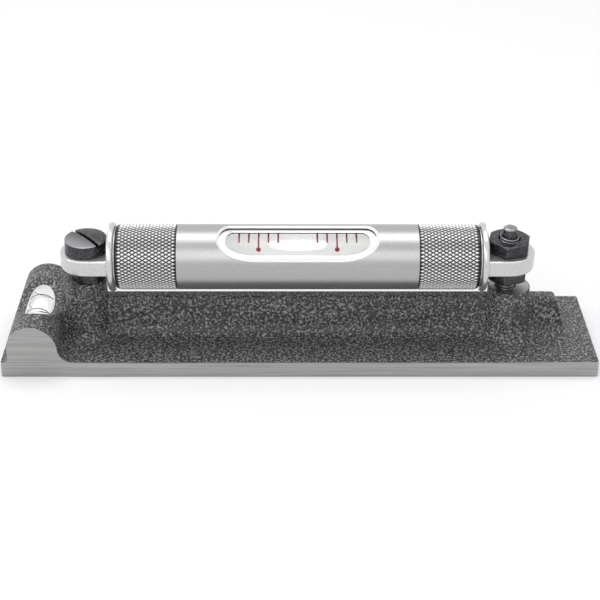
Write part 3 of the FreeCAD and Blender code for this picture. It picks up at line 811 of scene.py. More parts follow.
# ---- windowed tubes ------------------------------------------------------------------------
@dataclass(frozen=True)
class Window:
    """Opening in a tube's wall with a bevelled outer edge, leaned to the front."""

    lean_deg: float
    half_length: float
    half_width: float
    front_run: float
    rear_run: float
    bevel: float
    steps: int = 12

    def outline(self) -> list[tuple[float, float]]:
        """Return the opening's edge as distances along and across the tube, in millimetres."""
        quarter = [math.radians(90.0 * k / self.steps) for k in range(self.steps + 1)]
        corners = [(1.0, -1.0, self.front_run, quarter[::-1]), (1.0, 1.0, self.rear_run, quarter[1:]),
                   (-1.0, 1.0, self.rear_run, quarter[::-1]), (-1.0, -1.0, self.front_run, quarter[1:])]
        return [(side * (self.half_length - run + run * math.cos(turn)), edge * self.half_width * math.sin(turn))
                for side, edge, run, turns in corners for turn in turns]

    def cutter(self, radius: float, stand: Matrix) -> bpy.types.Mesh:
        """Make the solid that opens the window.

        Args:
            radius: Outer radius of the tube, in millimetres.
            stand: Matrix from the tube's axis to its place.

        Returns:
            The cutter's mesh.
        """
        edge = self.outline()
        wide = []
        for k, (along, across) in enumerate(edge):
            before, after = edge[k - 1], edge[(k + 1) % len(edge)]
            run = Vector((after[0] - before[0], after[1] - before[1])).normalized()
            slope = math.sqrt(1.0 - (across / radius) ** 2)
            wide.append((along + run.y * self.bevel, across - run.x * self.bevel * slope))
        inner = radius - self.bevel
        foot = [Vector((x, y, 0.25 * radius)) for x, y in edge]
        step = [Vector((x, y, math.sqrt(inner ** 2 - y ** 2))) for x, y in edge]
        rim = [Vector((x, y, math.sqrt(radius ** 2 - y ** 2))) for x, y in wide]
        over = [low + (high - low) * 1.1 for low, high in zip(step, rim)]
        top = [Vector((point.x, point.y, 1.5 * radius)) for point in over]
        turn = stand @ Matrix.Rotation(math.radians(self.lean_deg), 4, "X") @ Matrix.Scale(MM, 4)
        return loop_solid([[turn @ point for point in loop] for loop in (foot, step, over, top)])


@dataclass(frozen=True)
class WindowedTube:
    """Tube with one window, made from its half section."""

    name: str
    node: str
    body: Body
    window: Window
    profile: tuple[tuple[float, float], ...]
    radius: float
    finish: Finish
    faces_round: int = 192
    axis_height: float = 26.05

    def build(self, middle: float) -> bpy.types.Object:
        """Turn the tube, open its window and give its cut edges their own finish: a painted highlight on the bevel
        and painted shade on the rear wall.

        Args:
            middle: X of the tube's middle, in metres.

        Returns:
            The tube.
        """
        stand = Matrix.Translation(Vector((middle, 0.0, self.axis_height * MM)))
        turns = [2.0 * math.pi * k / self.faces_round for k in range(self.faces_round)]
        loops = [[stand @ (Vector((along, r * math.cos(turn), r * math.sin(turn))) * MM) for turn in turns]
                 for along, r in self.profile]
        mesh = carved(loop_solid(loops, closed=True), self.window.cutter(self.radius, stand))
        shade_by_angle(mesh)
        tube = own_object(self.name, mesh, self.finish)
        mesh.materials.append(CUT_EDGE_HIGHLIT.material())
        mesh.materials.append(PAINTED_SHADE_WALL.material())
        for face in mesh.polygons:
            face.material_index = self._edge_kind(face, middle)
        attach(tube, self.body.value)
        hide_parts(self.node)
        return tube

    def _edge_kind(self, face: bpy.types.MeshPolygon, middle: float) -> int:
        """Return 1 for the window's bevel (painted highlight), 2 for the rear of its wall (painted shade) and 0 for
        the rest.
        """
        along = abs(face.center.x - middle) / MM
        radial = Vector((0.0, face.center.y, face.center.z - self.axis_height * MM))
        straight = abs(face.normal.dot(radial.normalized()))
        if along > self.window.half_length + self.window.bevel or straight > 0.95:
            return 0
        if radial.length > (self.radius - self.window.bevel) * MM and straight > 0.1:
            return 1
        return 2 if face.normal.y < -0.2 else 1


COVER_WINDOW = Window(lean_deg=30.0, half_length=19.95, half_width=4.8, front_run=9.4, rear_run=3.0, bevel=0.6)
INNER_WINDOW = Window(lean_deg=27.4, half_length=18.05, half_width=3.3, front_run=6.2, rear_run=2.0, bevel=0.4)


# ---- knurled cover -------------------------------------------------------------------------
@dataclass
class KnurledCover:
    """Turning cover with a diamond-knurled grip at each end."""

    teeth: int = 54
    rows: int = 17
    radius: float = 8.33
    bore: float = 7.45
    root_radius: float = 8.13
    tooth_height: float = 0.26
    tooth_flat: float = 0.24
    band_length: float = 15.15
    band_inset: float = 0.4
    edge_chamfer: float = 0.3
    flange_shift: float = 0.87
    inner_radius: float = 7.35
    inner_bore: float = 6.55

    def tree(self) -> bpy.types.NodeTree:
        """Build the tree that stands diamond teeth in staggered rows round an X axis.

        Returns:
            The geometry node tree.
        """
        graph, given, out = new_group(
            "diamond_knurl",
            {"Teeth": ("NodeSocketInt", 54), "Rows": ("NodeSocketInt", 17), "Radius": ("NodeSocketFloat", 0.008),
             "Height": ("NodeSocketFloat", 0.0003), "Flat": ("NodeSocketFloat", 0.25),
             "Row Pitch": ("NodeSocketFloat", 0.0008), "Start": ("NodeSocketFloat", 0.0),
             "Axis Height": ("NodeSocketFloat", 0.02), "Material": ("NodeSocketMaterial", None)},
            {"Geometry": "NodeSocketGeometry"}, "GeometryNodeTree")
        teeth, radius = given.outputs["Teeth"], given.outputs["Radius"]
        index = graph.add("GeometryNodeInputIndex").outputs[0]
        row = graph.math("FLOOR", graph.math("DIVIDE", graph.math("ADD", index, 0.5), teeth))
        column = graph.math("SUBTRACT", index, graph.math("MULTIPLY", row, teeth))
        stagger = graph.math("MULTIPLY", graph.math("MODULO", row, 2.0), 0.5)
        step = graph.math("DIVIDE", 2.0 * math.pi, teeth)
        angle = graph.math("MULTIPLY", graph.math("ADD", column, stagger), step)
        along = graph.math("MULTIPLY_ADD", graph.math("ADD", row, 1.0), given.outputs["Row Pitch"],
                           given.outputs["Start"])
        across = graph.math("MULTIPLY", radius, graph.math("SINE", angle))
        up = graph.math("MULTIPLY_ADD", radius, graph.math("COSINE", angle), given.outputs["Axis Height"])
        points = graph.add("GeometryNodePoints", {"Count": graph.math("MULTIPLY", teeth, given.outputs["Rows"]),
                                                  "Position": graph.combine(along, across, up)})
        tooth = graph.add("GeometryNodeMeshCone", {"Vertices": 4, "Radius Top": given.outputs["Flat"],
                                                   "Radius Bottom": 1.0, "Depth": 1.0})
        half_step = graph.math("MULTIPLY", radius, graph.math("MULTIPLY", step, 0.5))
        turn = graph.combine(graph.math("MULTIPLY", angle, -1.0), 0.0, 0.0)
        size = graph.combine(given.outputs["Row Pitch"], half_step, given.outputs["Height"])
        placed = graph.add("GeometryNodeInstanceOnPoints", {"Points": points.outputs[0],
                                                            "Instance": tooth.outputs["Mesh"],
                                                            "Rotation": turn, "Scale": size})
        finish_tree(graph, placed.outputs[0], given, out)
        return graph.tree

    def build(self, low: Vector, high: Vector) -> list[bpy.types.Object]:
        """Knurl both ends of the cover.

        Args:
            low: Lowest corner of the cover, in metres.
            high: Highest corner of the cover, in metres.

        Returns:
            The two knurled bands.
        """
        tree = self.tree()
        axis_height = 26.05 * MM
        middle = (low.x + high.x) / 2.0
        half = (high.x - middle) - self.flange_shift * MM
        starts = {"left": middle - half + self.band_inset * MM,
                  "right": middle + half - (self.band_inset + self.band_length) * MM}
        self._sleeves(middle, half / MM)
        bands = []
        for side, start in starts.items():
            band = grow(f"{side}_knurled_band", tree, {
                "Teeth": self.teeth, "Rows": self.rows, "Radius": self.root_radius * MM,
                "Height": self.tooth_height * MM, "Flat": self.tooth_flat,
                "Row Pitch": self.band_length * MM / (self.rows + 1), "Start": start,
                "Axis Height": axis_height}, KNURL_HIGHLIT_PLATE)
            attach(band, Body.COVER.value)
            bands.append(band)
        return bands

    def _sleeves(self, middle: float, half: float) -> None:
        """Make the cover's sleeve and the inner tube under it.

        Args:
            middle: X of the tube's middle, in metres.
            half: Half length of the cover, in millimetres.
        """
        band = half - self.band_inset - self.band_length
        root, cut = self.root_radius, self.edge_chamfer
        right = [(band, self.radius), (band, root), (half - cut, root), (half, root - cut), (half, self.bore)]
        profile = [(-x, r) for x, r in right[::-1]] + right
        WindowedTube("cover_sleeve_body", "cover_sleeve", Body.COVER, COVER_WINDOW, tuple(profile), self.radius,
                     COVER_PLATE).build(middle)
        reach = half + 0.3
        inner = ((-reach, self.inner_bore), (-reach, self.inner_radius), (reach, self.inner_radius),
                 (reach, self.inner_bore))
        WindowedTube("inner_tube_body", "inner_tube", Body.TUBE, INNER_WINDOW, inner, self.inner_radius,
                     PALE).build(middle)

    def end_caps(self) -> None:
        """Bring each cap's flange inboard to the shortened cover."""
        for side, sign in (("left", 1.0), ("right", -1.0)):
            node = f"{side}_end_cap"
            low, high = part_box(node)
            eye = 6.7 * MM
            pivot = low.x + eye if side == "left" else high.x - eye
            shape = solid_copy(node)
            for corner in shape.verts:
                if (corner.co.x - pivot) * sign > 4.0 * MM:
                    corner.co.x += sign * self.flange_shift * MM
            finished_copy(f"{side}_end_cap_body", shape, node, Body.TUBE, "satin_plate", POLISHED)


# ---- main vial --------------------------------------------------------------------------------
@dataclass
class MainVial:
    """Glass vial in the tube: graduations, dots, spirit and bubble."""

    radius: float = 6.0
    wall: float = 1.1
    axis_height: float = 26.05
    first_line: float = 4.95
    line_step: float = 2.475
    lines_a_side: int = 5
    long_line: int = 2
    line_width: float = 0.42
    line_thickness: float = 0.04
    rear_reach_deg: float = -34.0
    short_reach_deg: float = 24.0
    long_reach_deg: float = 38.0
    dot_centre_deg: float = 42.5
    dot_radius: float = 0.6
    bubble_length: float = 15.5
    bubble_width: float = 5.9
    liquid_level: float = 3.83
    end_round: float = 2.0
    length: float = 60.0

    def line_tree(self) -> bpy.types.NodeTree:
        """Build the tree that wraps evenly spaced lines round part of an X axis, on both sides of a middle.

        Returns:
            The geometry node tree.
        """
        graph, given, out = new_group(
            "graduations",
            {"Lines": ("NodeSocketInt", 5), "First": ("NodeSocketFloat", 0.005), "Step": ("NodeSocketFloat", 0.0025),
             "Radius": ("NodeSocketFloat", 0.006), "Width": ("NodeSocketFloat", 0.0004),
             "Thickness": ("NodeSocketFloat", 0.00004), "From Angle": ("NodeSocketFloat", -0.6),
             "To Angle": ("NodeSocketFloat", 0.4), "Middle": ("NodeSocketFloat", 0.0),
             "Axis Height": ("NodeSocketFloat", 0.02), "Material": ("NodeSocketMaterial", None)},
            {"Geometry": "NodeSocketGeometry"}, "GeometryNodeTree")
        lines = given.outputs["Lines"]
        bar = graph.add("GeometryNodeMeshCube", {"Size": graph.combine(given.outputs["Width"], 1.0,
                                                                       given.outputs["Thickness"]),
                                                 "Vertices X": 2, "Vertices Y": 24, "Vertices Z": 2})
        spot = graph.add("ShaderNodeSeparateXYZ", {0: graph.add("GeometryNodeInputPosition").outputs[0]})
        share = graph.math("ADD", spot.outputs["Y"], 0.5)
        sweep = graph.math("SUBTRACT", given.outputs["To Angle"], given.outputs["From Angle"])
        angle = graph.math("MULTIPLY_ADD", share, sweep, given.outputs["From Angle"])
        reach = graph.math("ADD", given.outputs["Radius"], spot.outputs["Z"])
        across = graph.math("MULTIPLY", graph.math("MULTIPLY", reach, graph.math("SINE", angle)), -1.0)
        up = graph.math("MULTIPLY", reach, graph.math("COSINE", angle))
        bent = graph.add("GeometryNodeSetPosition", {"Geometry": bar.outputs["Mesh"],
                                                     "Position": graph.combine(spot.outputs["X"], across, up)})
        index = graph.add("GeometryNodeInputIndex").outputs[0]
        far = graph.math("GREATER_THAN", index, graph.math("SUBTRACT", lines, 0.5))
        number = graph.math("SUBTRACT", index, graph.math("MULTIPLY", far, lines))
        offset = graph.math("MULTIPLY_ADD", number, given.outputs["Step"], given.outputs["First"])
        sign = graph.math("MULTIPLY_ADD", far, 2.0, -1.0)
        along = graph.math("MULTIPLY_ADD", offset, sign, given.outputs["Middle"])
        points = graph.add("GeometryNodePoints", {
            "Count": graph.math("MULTIPLY", lines, 2.0),
            "Position": graph.combine(along, 0.0, given.outputs["Axis Height"])})
        placed = graph.add("GeometryNodeInstanceOnPoints", {"Points": points.outputs[0],
                                                            "Instance": bent.outputs[0]})
        finish_tree(graph, placed.outputs[0], given, out)
        return graph.tree

    def build(self, middle: float) -> None:
        """Make the graduations, the dots, the spirit and the bubble.

        Args:
            middle: X of the vial's middle, in metres.
        """
        tree = self.line_tree()
        shared = {"Radius": self.radius * MM, "Width": self.line_width * MM, "Thickness": self.line_thickness * MM,
                  "From Angle": math.radians(self.rear_reach_deg), "Middle": middle,
                  "Axis Height": self.axis_height * MM}
        long_offset = (self.first_line + self.long_line * self.line_step) * MM
        short = grow("short_graduations", tree, {
            **shared, "Lines": self.lines_a_side, "First": self.first_line * MM, "Step": self.line_step * MM,
            "To Angle": math.radians(self.short_reach_deg)}, RED_ENAMEL)
        long = grow("long_graduations", tree, {
            **shared, "Lines": 1, "First": long_offset, "Step": 0.0, "Thickness": 1.2 * self.line_thickness * MM,
            "To Angle": math.radians(self.long_reach_deg)}, RED_ENAMEL)
        pieces = [short, long]
        for side, sign in (("left", -1.0), ("right", 1.0)):
            tilt = math.radians(self.dot_centre_deg)
            centre = Vector((middle + sign * long_offset, -self.radius * MM * math.sin(tilt),
                             (self.axis_height + self.radius * math.cos(tilt)) * MM))
            stand = Matrix.Translation(centre) @ Euler((tilt, 0.0, 0.0)).to_matrix().to_4x4()
            edge = self.dot_radius
            profile = [(0.0, -0.03), (edge, -0.03), (edge, 0.01), (edge * 0.8, 0.03), (0.0, 0.035)]
            pieces.append(turned(f"{side}_dot", profile, 28, RED_ENAMEL, stand))
        for piece in pieces:
            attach(piece, Body.TUBE.value)
        self._spirit(middle)
        self._bubble(middle)

    def _spirit(self, middle: float) -> None:
        """Fill the vial's whole bore with spirit, so that no bare surface cuts across it."""
        bore = self.radius - self.wall + 0.02
        half = self.length / 2.0 - self.wall
        round_steps = [math.radians(15.0 * k) for k in range(7)]
        end = self.end_round
        cap = [(bore - end + end * math.sin(a), -half + end - end * math.cos(a)) for a in round_steps]
        profile = [(0.0, -half)] + cap + [(radius, -height) for radius, height in reversed(cap)] + [(0.0, half)]
        stand = Matrix.Translation(Vector((middle, 0.0, self.axis_height * MM)))
        stand = stand @ Euler((0.0, math.radians(90.0), 0.0)).to_matrix().to_4x4()
        spirit = turned("main_vial_filling", profile, 96, SPIRIT, stand)
        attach(spirit, Body.TUBE.value)
        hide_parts("main_vial_spirit")

    def _bubble(self, middle: float) -> None:
        """Shape the bubble as a long lens under the crown of the bore."""
        crown = self.radius - self.wall - 0.12
        bubble = lens("main_air_bubble", (self.bubble_length, self.bubble_width), crown,
                      crown - self.liquid_level, BUBBLE)
        bubble.data.transform(Matrix.Translation(Vector((middle, 0.0, self.axis_height * MM))))
        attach(bubble, Body.MAIN_BUBBLE.value)
        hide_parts("main_bubble")


def lens(name: str, plan: tuple[float, float], crown: float, depth: float, finish: Finish) -> bpy.types.Object:
    """Make a bubble that lies under the crown of a bore along X.

    Args:
        name: Name of the piece.
        plan: Length and width, in millimetres.
        crown: Radius of the bore's roof about the origin, in millimetres.
        depth: Thickness in its middle, in millimetres.
        finish: Its finish.

    Returns:
        The closed bubble, its bore's axis on the origin.
    """
    length, width = plan
    steps, rings = 72, 16
    straight = (length - width) / 2.0
    shape = bmesh.new()

    def outline(turn: float) -> tuple[float, float]:
        """Return the plan's edge, in millimetres, at a turn in radians."""
        ahead, side = math.cos(turn), math.sin(turn)
        run = straight * math.copysign(min(1.0, abs(ahead) * 1.6), ahead)
        return run + width / 2.0 * ahead, width / 2.0 * side

    def spot(share: float, turn: float, upper: bool) -> Vector:
        """Return a point of the upper or lower skin, in metres."""
        x, y = (share * value for value in outline(turn))
        roof = math.sqrt(crown ** 2 - y ** 2)
        half = 0.5 * depth * math.sqrt(max(0.0, 1.0 - share ** 4))
        return Vector((x, y, roof - depth * 0.5 + (half if upper else -half))) * MM

    skins = []
    for upper in (True, False):
        middle = shape.verts.new(spot(0.0, 0.0, upper))
        loops = [[shape.verts.new(spot(math.sin(0.5 * math.pi * r / rings), 2.0 * math.pi * k / steps, upper))
                  for k in range(steps)] for r in range(1, rings)]
        skins.append((middle, loops))
    rim = [shape.verts.new(spot(1.0, 2.0 * math.pi * k / steps, True)) for k in range(steps)]
    for middle, loops in skins:
        for k in range(steps):
            ahead = (k + 1) % steps
            shape.faces.new([middle, loops[0][k], loops[0][ahead]])
            for inner, outer in zip(loops, loops[1:] + [rim]):
                shape.faces.new([inner[k], outer[k], outer[ahead], inner[ahead]])
    bmesh.ops.recalc_face_normals(shape, faces=shape.faces)
    for face in shape.faces:
        face.smooth = True
    mesh = bpy.data.meshes.new(name)
    shape.to_mesh(mesh)
    shape.free()
    return own_object(name, mesh, finish)


# ---- cross vial --------------------------------------------------------------------------------
@dataclass
class CrossVial:
    """Small vial under the scooped window: two ring lines, spirit and bubble."""

    radius: float = 3.55
    wall: float = 0.95
    half_gauge: float = 3.45
    ring_width: float = 0.34
    ring_thickness: float = 0.04
    liquid_level: float = 1.75
    bubble_length: float = 6.2
    bubble_width: float = 3.6
    end_round: float = 1.2

    def ring_tree(self) -> bpy.types.NodeTree:
        """Build the tree that puts two flat rings round a Y axis.

        Returns:
            The geometry node tree.
        """
        graph, given, out = new_group(
            "ring_lines",
            {"Radius": ("NodeSocketFloat", 0.0035), "Half Gauge": ("NodeSocketFloat", 0.0035),
             "Width": ("NodeSocketFloat", 0.0003), "Thickness": ("NodeSocketFloat", 0.00004),
             "Middle": ("NodeSocketVector", None), "Material": ("NodeSocketMaterial", None)},
            {"Geometry": "NodeSocketGeometry"}, "GeometryNodeTree")
        circle = graph.add("GeometryNodeCurvePrimitiveCircle", {"Resolution": 96, "Radius": given.outputs["Radius"]})
        profile = graph.add("GeometryNodeCurvePrimitiveQuadrilateral", {"Width": given.outputs["Thickness"],
                                                                       "Height": given.outputs["Width"]})
        band = graph.add("GeometryNodeCurveToMesh", {"Curve": circle.outputs["Curve"],
                                                     "Profile Curve": profile.outputs[0]})
        side = graph.math("MULTIPLY_ADD", graph.add("GeometryNodeInputIndex").outputs[0], 2.0, -1.0)
        offset = graph.combine(0.0, graph.math("MULTIPLY", side, given.outputs["Half Gauge"]), 0.0)
        spot = graph.add("ShaderNodeVectorMath", {0: offset, 1: given.outputs["Middle"]}, operation="ADD")
        points = graph.add("GeometryNodePoints", {"Count": 2, "Position": spot.outputs[0]})
        placed = graph.add("GeometryNodeInstanceOnPoints", {
            "Points": points.outputs[0], "Instance": band.outputs[0],
            "Rotation": (math.radians(90.0), 0.0, 0.0)})
        finish_tree(graph, placed.outputs[0], given, out)
        return graph.tree

    def build(self, low: Vector, high: Vector) -> None:
        """Make the ring lines, the spirit and the bubble.

        Args:
            low: Lowest corner of the vial's glass, in metres.
            high: Highest corner of the vial's glass, in metres.
        """
        middle = (low + high) / 2.0
        rings = grow("cross_vial_rings", self.ring_tree(), {
            "Radius": self.radius * MM, "Half Gauge": self.half_gauge * MM, "Width": self.ring_width * MM,
            "Thickness": self.ring_thickness * MM, "Middle": middle}, BLACK_ENAMEL)
        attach(rings, Body.BASE.value)
        bore = self.radius - self.wall + 0.02
        half = (high.y - low.y) / MM / 2.0 - self.wall
        end = self.end_round
        cap = [(bore - end + end * math.sin(math.radians(15.0 * k)),
                -half + end - end * math.cos(math.radians(15.0 * k))) for k in range(7)]
        profile = [(0.0, -half)] + cap + [(radius, -height) for radius, height in reversed(cap)] + [(0.0, half)]
        turn = Euler((math.radians(90.0), 0.0, 0.0)).to_matrix().to_4x4()
        spirit = turned("cross_vial_filling", profile, 72, SPIRIT, Matrix.Translation(middle) @ turn)
        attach(spirit, Body.BASE.value)
        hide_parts("cross_vial_spirit")
        rear = high.y / MM
        backing = [(0.0, -rear - 0.9), (self.radius - 0.1, -rear - 0.9), (self.radius - 0.1, -rear - 0.1),
                   (0.0, -rear - 0.1)]
        # The backing takes the packing finish, with its emission as painted light.
        seat = turned("cross_vial_backing", backing, 72, PACKING,
                      Matrix.Translation(Vector((middle.x, 0.0, middle.z))) @ turn, smooth=False)
        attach(seat, Body.BASE.value)
        crown = self.radius - self.wall - 0.12
        bubble = lens("cross_air_bubble", (self.bubble_length, self.bubble_width), crown,
                      crown - self.liquid_level, BUBBLE)
        bubble.data.transform(Matrix.Translation(middle) @ Matrix.Rotation(math.radians(90.0), 4, "Z"))
        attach(bubble, Body.CROSS_BUBBLE.value)
        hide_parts("cross_bubble")


# ---- adjusting stud -------------------------------------------------------------------------
@dataclass
class AdjustingStud:
    """Threaded stud with a chamfered dog point."""

    crest_radius: float = 2.42
    root_radius: float = 2.04
    pitch: float = 0.79375
    dog_radius: float = 1.78
    dog_length: float = 1.6
    top_drop: float = 0.85
    chamfer: float = 0.4
    crest_flat: float = 0.12

    def tree(self) -> bpy.types.NodeTree:
        """Build the tree that winds a thread's ridge up a Z axis.

        Returns:
            The geometry node tree.
        """
        graph, given, out = new_group(
            "screw_thread",
            {"Root": ("NodeSocketFloat", 0.0023), "Depth": ("NodeSocketFloat", 0.0004),
             "Pitch": ("NodeSocketFloat", 0.0008), "Turns": ("NodeSocketFloat", 10.0),
             "Crest": ("NodeSocketFloat", 0.0001), "Foot": ("NodeSocketVector", None),
             "Material": ("NodeSocketMaterial", None)},
            {"Geometry": "NodeSocketGeometry"}, "GeometryNodeTree")
        half_depth = graph.math("MULTIPLY", given.outputs["Depth"], 0.5)
        middle = graph.math("ADD", given.outputs["Root"], half_depth)
        rise = graph.math("MULTIPLY", given.outputs["Pitch"], given.outputs["Turns"])
        helix = graph.add("GeometryNodeCurveSpiral", {
            "Resolution": 40, "Rotations": given.outputs["Turns"], "Start Radius": middle,
            "End Radius": middle, "Height": rise})
        upright = graph.add("GeometryNodeSetCurveNormal", {0: helix.outputs[0]}, mode="Z_UP")
        section = graph.add("GeometryNodeCurvePrimitiveQuadrilateral", {
            "Height": given.outputs["Depth"], "Bottom Width": graph.math("MULTIPLY", given.outputs["Pitch"], 0.98),
            "Top Width": given.outputs["Crest"], "Offset": 0.0}, mode="TRAPEZOID")
        turned_section = graph.add("GeometryNodeTransform", {"Geometry": section.outputs[0],
                                                             "Rotation": (0.0, 0.0, math.radians(-90.0))})
        ridge = graph.add("GeometryNodeCurveToMesh", {"Curve": upright.outputs[0],
                                                      "Profile Curve": turned_section.outputs[0],
                                                      "Fill Caps": True})
        moved = graph.add("GeometryNodeTransform", {"Geometry": ridge.outputs[0],
                                                    "Translation": given.outputs["Foot"]})
        finish_tree(graph, moved.outputs[0], given, out)
        return graph.tree

    def build(self, low: Vector, high: Vector) -> None:
        """Make the stud's core and its thread.

        Args:
            low: Lowest corner of the stud, in metres.
            high: Highest corner of the stud, in metres.
        """
        centre_x = (low.x + high.x) / 2.0
        height = (high.z - low.z) / MM - self.top_drop
        shank = height - self.dog_length
        profile = [
            (0.0, 0.0), (self.root_radius, 0.0), (self.root_radius, shank - self.chamfer),
            (self.root_radius - 0.06, shank - 0.06), (self.dog_radius + 0.12, shank - 0.02),
            (self.dog_radius, shank + 0.1), (self.dog_radius, height - self.chamfer),
            (self.dog_radius - 0.1, height - self.chamfer + 0.12), (self.dog_radius - self.chamfer, height - 0.04),
            (self.dog_radius - self.chamfer - 0.15, height), (0.0, height)]
        core = turned("adjusting_stud_core", profile, 64, BLACKED,
                      Matrix.Translation(Vector((centre_x, 0.0, low.z))))
        # The tip above its chamfer and the thread are lighter: worn steel with a painted highlight.
        core.data.materials.append(RUBBED_HIGHLIT.material())
        tip = low.z + (height - self.chamfer) * MM
        for face in core.data.polygons:
            face.material_index = int(face.center.z > tip)
        turns = (shank - self.chamfer) / self.pitch - 0.8
        foot = Vector((centre_x, 0.0, low.z + 0.4 * self.pitch * MM))
        thread = grow("adjusting_stud_thread", self.tree(), {
            "Root": (self.root_radius - 0.02) * MM, "Depth": (self.crest_radius - self.root_radius) * MM,
            "Pitch": self.pitch * MM, "Turns": turns, "Crest": self.crest_flat * MM, "Foot": foot}, RUBBED_HIGHLIT)
        for piece in (core, thread):
            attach(piece, Body.BASE.value)
        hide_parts("adjusting_stud")


@dataclass
class Nuts:
    """The two hexagon nuts, their corners clocked alike and their edges broken."""

    widening: float = 1.13
    bore_reach: float = 3.4
    clock_deg: float = 2.0
    edge: float = 0.16

    def build(self) -> None:
        """Make both nuts from copies of their solids."""
        for node, body in (("top_nut", Body.TOP_NUT), ("lower_nut", Body.LOWER_NUT)):
            low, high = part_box(node)
            axis = Vector(((low.x + high.x) / 2.0, 0.0, 0.0))
            shape = solid_copy(node)
            turn = Matrix.Rotation(math.radians(self.clock_deg), 3, "Z")
            for corner in shape.verts:
                arm = corner.co - axis
                reach = math.hypot(arm.x, arm.y)
                if reach > self.bore_reach * MM:
                    arm.x *= self.widening
                    arm.y *= self.widening
                corner.co = axis + turn @ arm
            soften(shape, self.edge, lambda edge: min(math.hypot(v.co.x - axis.x, v.co.y) for v in edge.verts)
                   > self.bore_reach * MM)
            finished_copy(f"{node}_body", shape, node, body, "black_steel", BLACKED)


@dataclass
class PivotScrew:
    """Large slotted screw with a broken rim."""

    edge: float = 0.28
    rim_height: float = 31.0

    def build(self) -> None:
        """Round the head's rim and the slot's edges on a copy of the screw's solid."""
        shape = solid_copy("pivot_screw")
        soften(shape, self.edge, lambda edge: min(v.co.z for v in edge.verts) > self.rim_height * MM)
        finished_copy("pivot_screw_body", shape, "pivot_screw", Body.BASE, "black_steel", SCREW_HEAD)


@dataclass
class Saddle:
    """Cast web that joins the hump to the left pedestal."""

    half_width: float = 3.4
    height: float = 13.2
    foot: float = 4.2
    flare: float = 2.6
    edge_round: float = 0.8
    start: float = -63.9
    end: float = -55.0
    scoop_end: float = -61.35
    scoop_radius: float = 12.7
    scoop_floor: float = 10.8

    def build(self) -> None:
        """Sweep the web's section along the base."""
        quarter = [math.radians(15.0 * k) for k in range(7)]
        crown = [(self.half_width - self.edge_round * (1.0 - math.sin(a)),
                  self.height - self.edge_round * (1.0 - math.cos(a))) for a in quarter]
        toe = [(self.half_width + self.flare * (1.0 - math.cos(a)), self.foot + self.flare * (1.0 - math.sin(a)))
               for a in quarter]
        side = crown + toe + [(self.half_width + self.flare, self.foot - 1.0)]
        section = [(-y, z) for y, z in side[::-1]] + side
        loops = [[Vector((x, y, z)) * MM for y, z in section] for x in (self.start, self.end)]
        turns = [2.0 * math.pi * k / 96 for k in range(96)]
        scoop = loop_solid([[Vector((x, self.scoop_radius * math.sin(turn),
                                     self.scoop_floor + self.scoop_radius * (1.0 - math.cos(turn)))) * MM
                             for turn in turns] for x in (self.start - 1.0, self.scoop_end)])
        mesh = carved(loop_solid(loops), scoop)
        shade_by_angle(mesh)
        saddle = own_object("cast_saddle", mesh, CASTING)
        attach(saddle, Body.BASE.value)


# ---- carried-over solids ---------------------------------------------------------------------
def dress_node(node: str, finish: Finish) -> None:
    """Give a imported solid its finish.

    Args:
        node: Name of the node.
        finish: Its finish.
    """
    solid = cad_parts[node]
    material = finish.material()
    if not solid.data.materials:
        solid.data.materials.append(material)
    for slot in solid.material_slots:
        slot.material = material


NODE_FINISHES: dict[str, Finish] = {
    "base_casting": CASTING,
    "pivot_screw": BLACKED,
    "pivot_seat": BLACKED,
    "adjusting_stud": BLACKED,
    "top_nut": BLACKED,
    "lower_nut": BLACKED,
    "left_end_cap": POLISHED,
    "right_end_cap": POLISHED,
    "inner_tube": SATIN,
    "main_vial_glass": GLASS,
    "main_vial_spirit": SPIRIT,
    "main_vial_bed": PACKING,
    "main_bubble": BUBBLE,
    "left_vial_plug": PACKING,
    "right_vial_plug": PACKING,
    "cross_vial_glass": GLASS,
    "cross_vial_spirit": SPIRIT,
    "cross_vial_bed": PACKING,
    "cross_vial_plug": PLUG,
    "cross_bubble": BUBBLE,
}


# ---- studio -------------------------------------------------------------------------------------
@dataclass
class Softbox:
    """Square area lamp aimed at a point."""

    name: str
    place: tuple[float, float, float]
    aim: tuple[float, float, float]
    size: tuple[float, float]
    power: float

    def build(self) -> bpy.types.Object:
        """Hang the lamp and return it."""
        lamp = bpy.data.lights.new(self.name, "AREA")
        lamp.shape = "RECTANGLE"
        lamp.size, lamp.size_y = self.size
        lamp.energy = self.power
        holder = bpy.data.objects.new(self.name, lamp)
        holder.location = self.place
        holder.rotation_euler = (Vector(self.aim) - Vector(self.place)).to_track_quat("-Z", "Y").to_euler()
        bpy.context.scene.collection.objects.link(holder)
        return holder


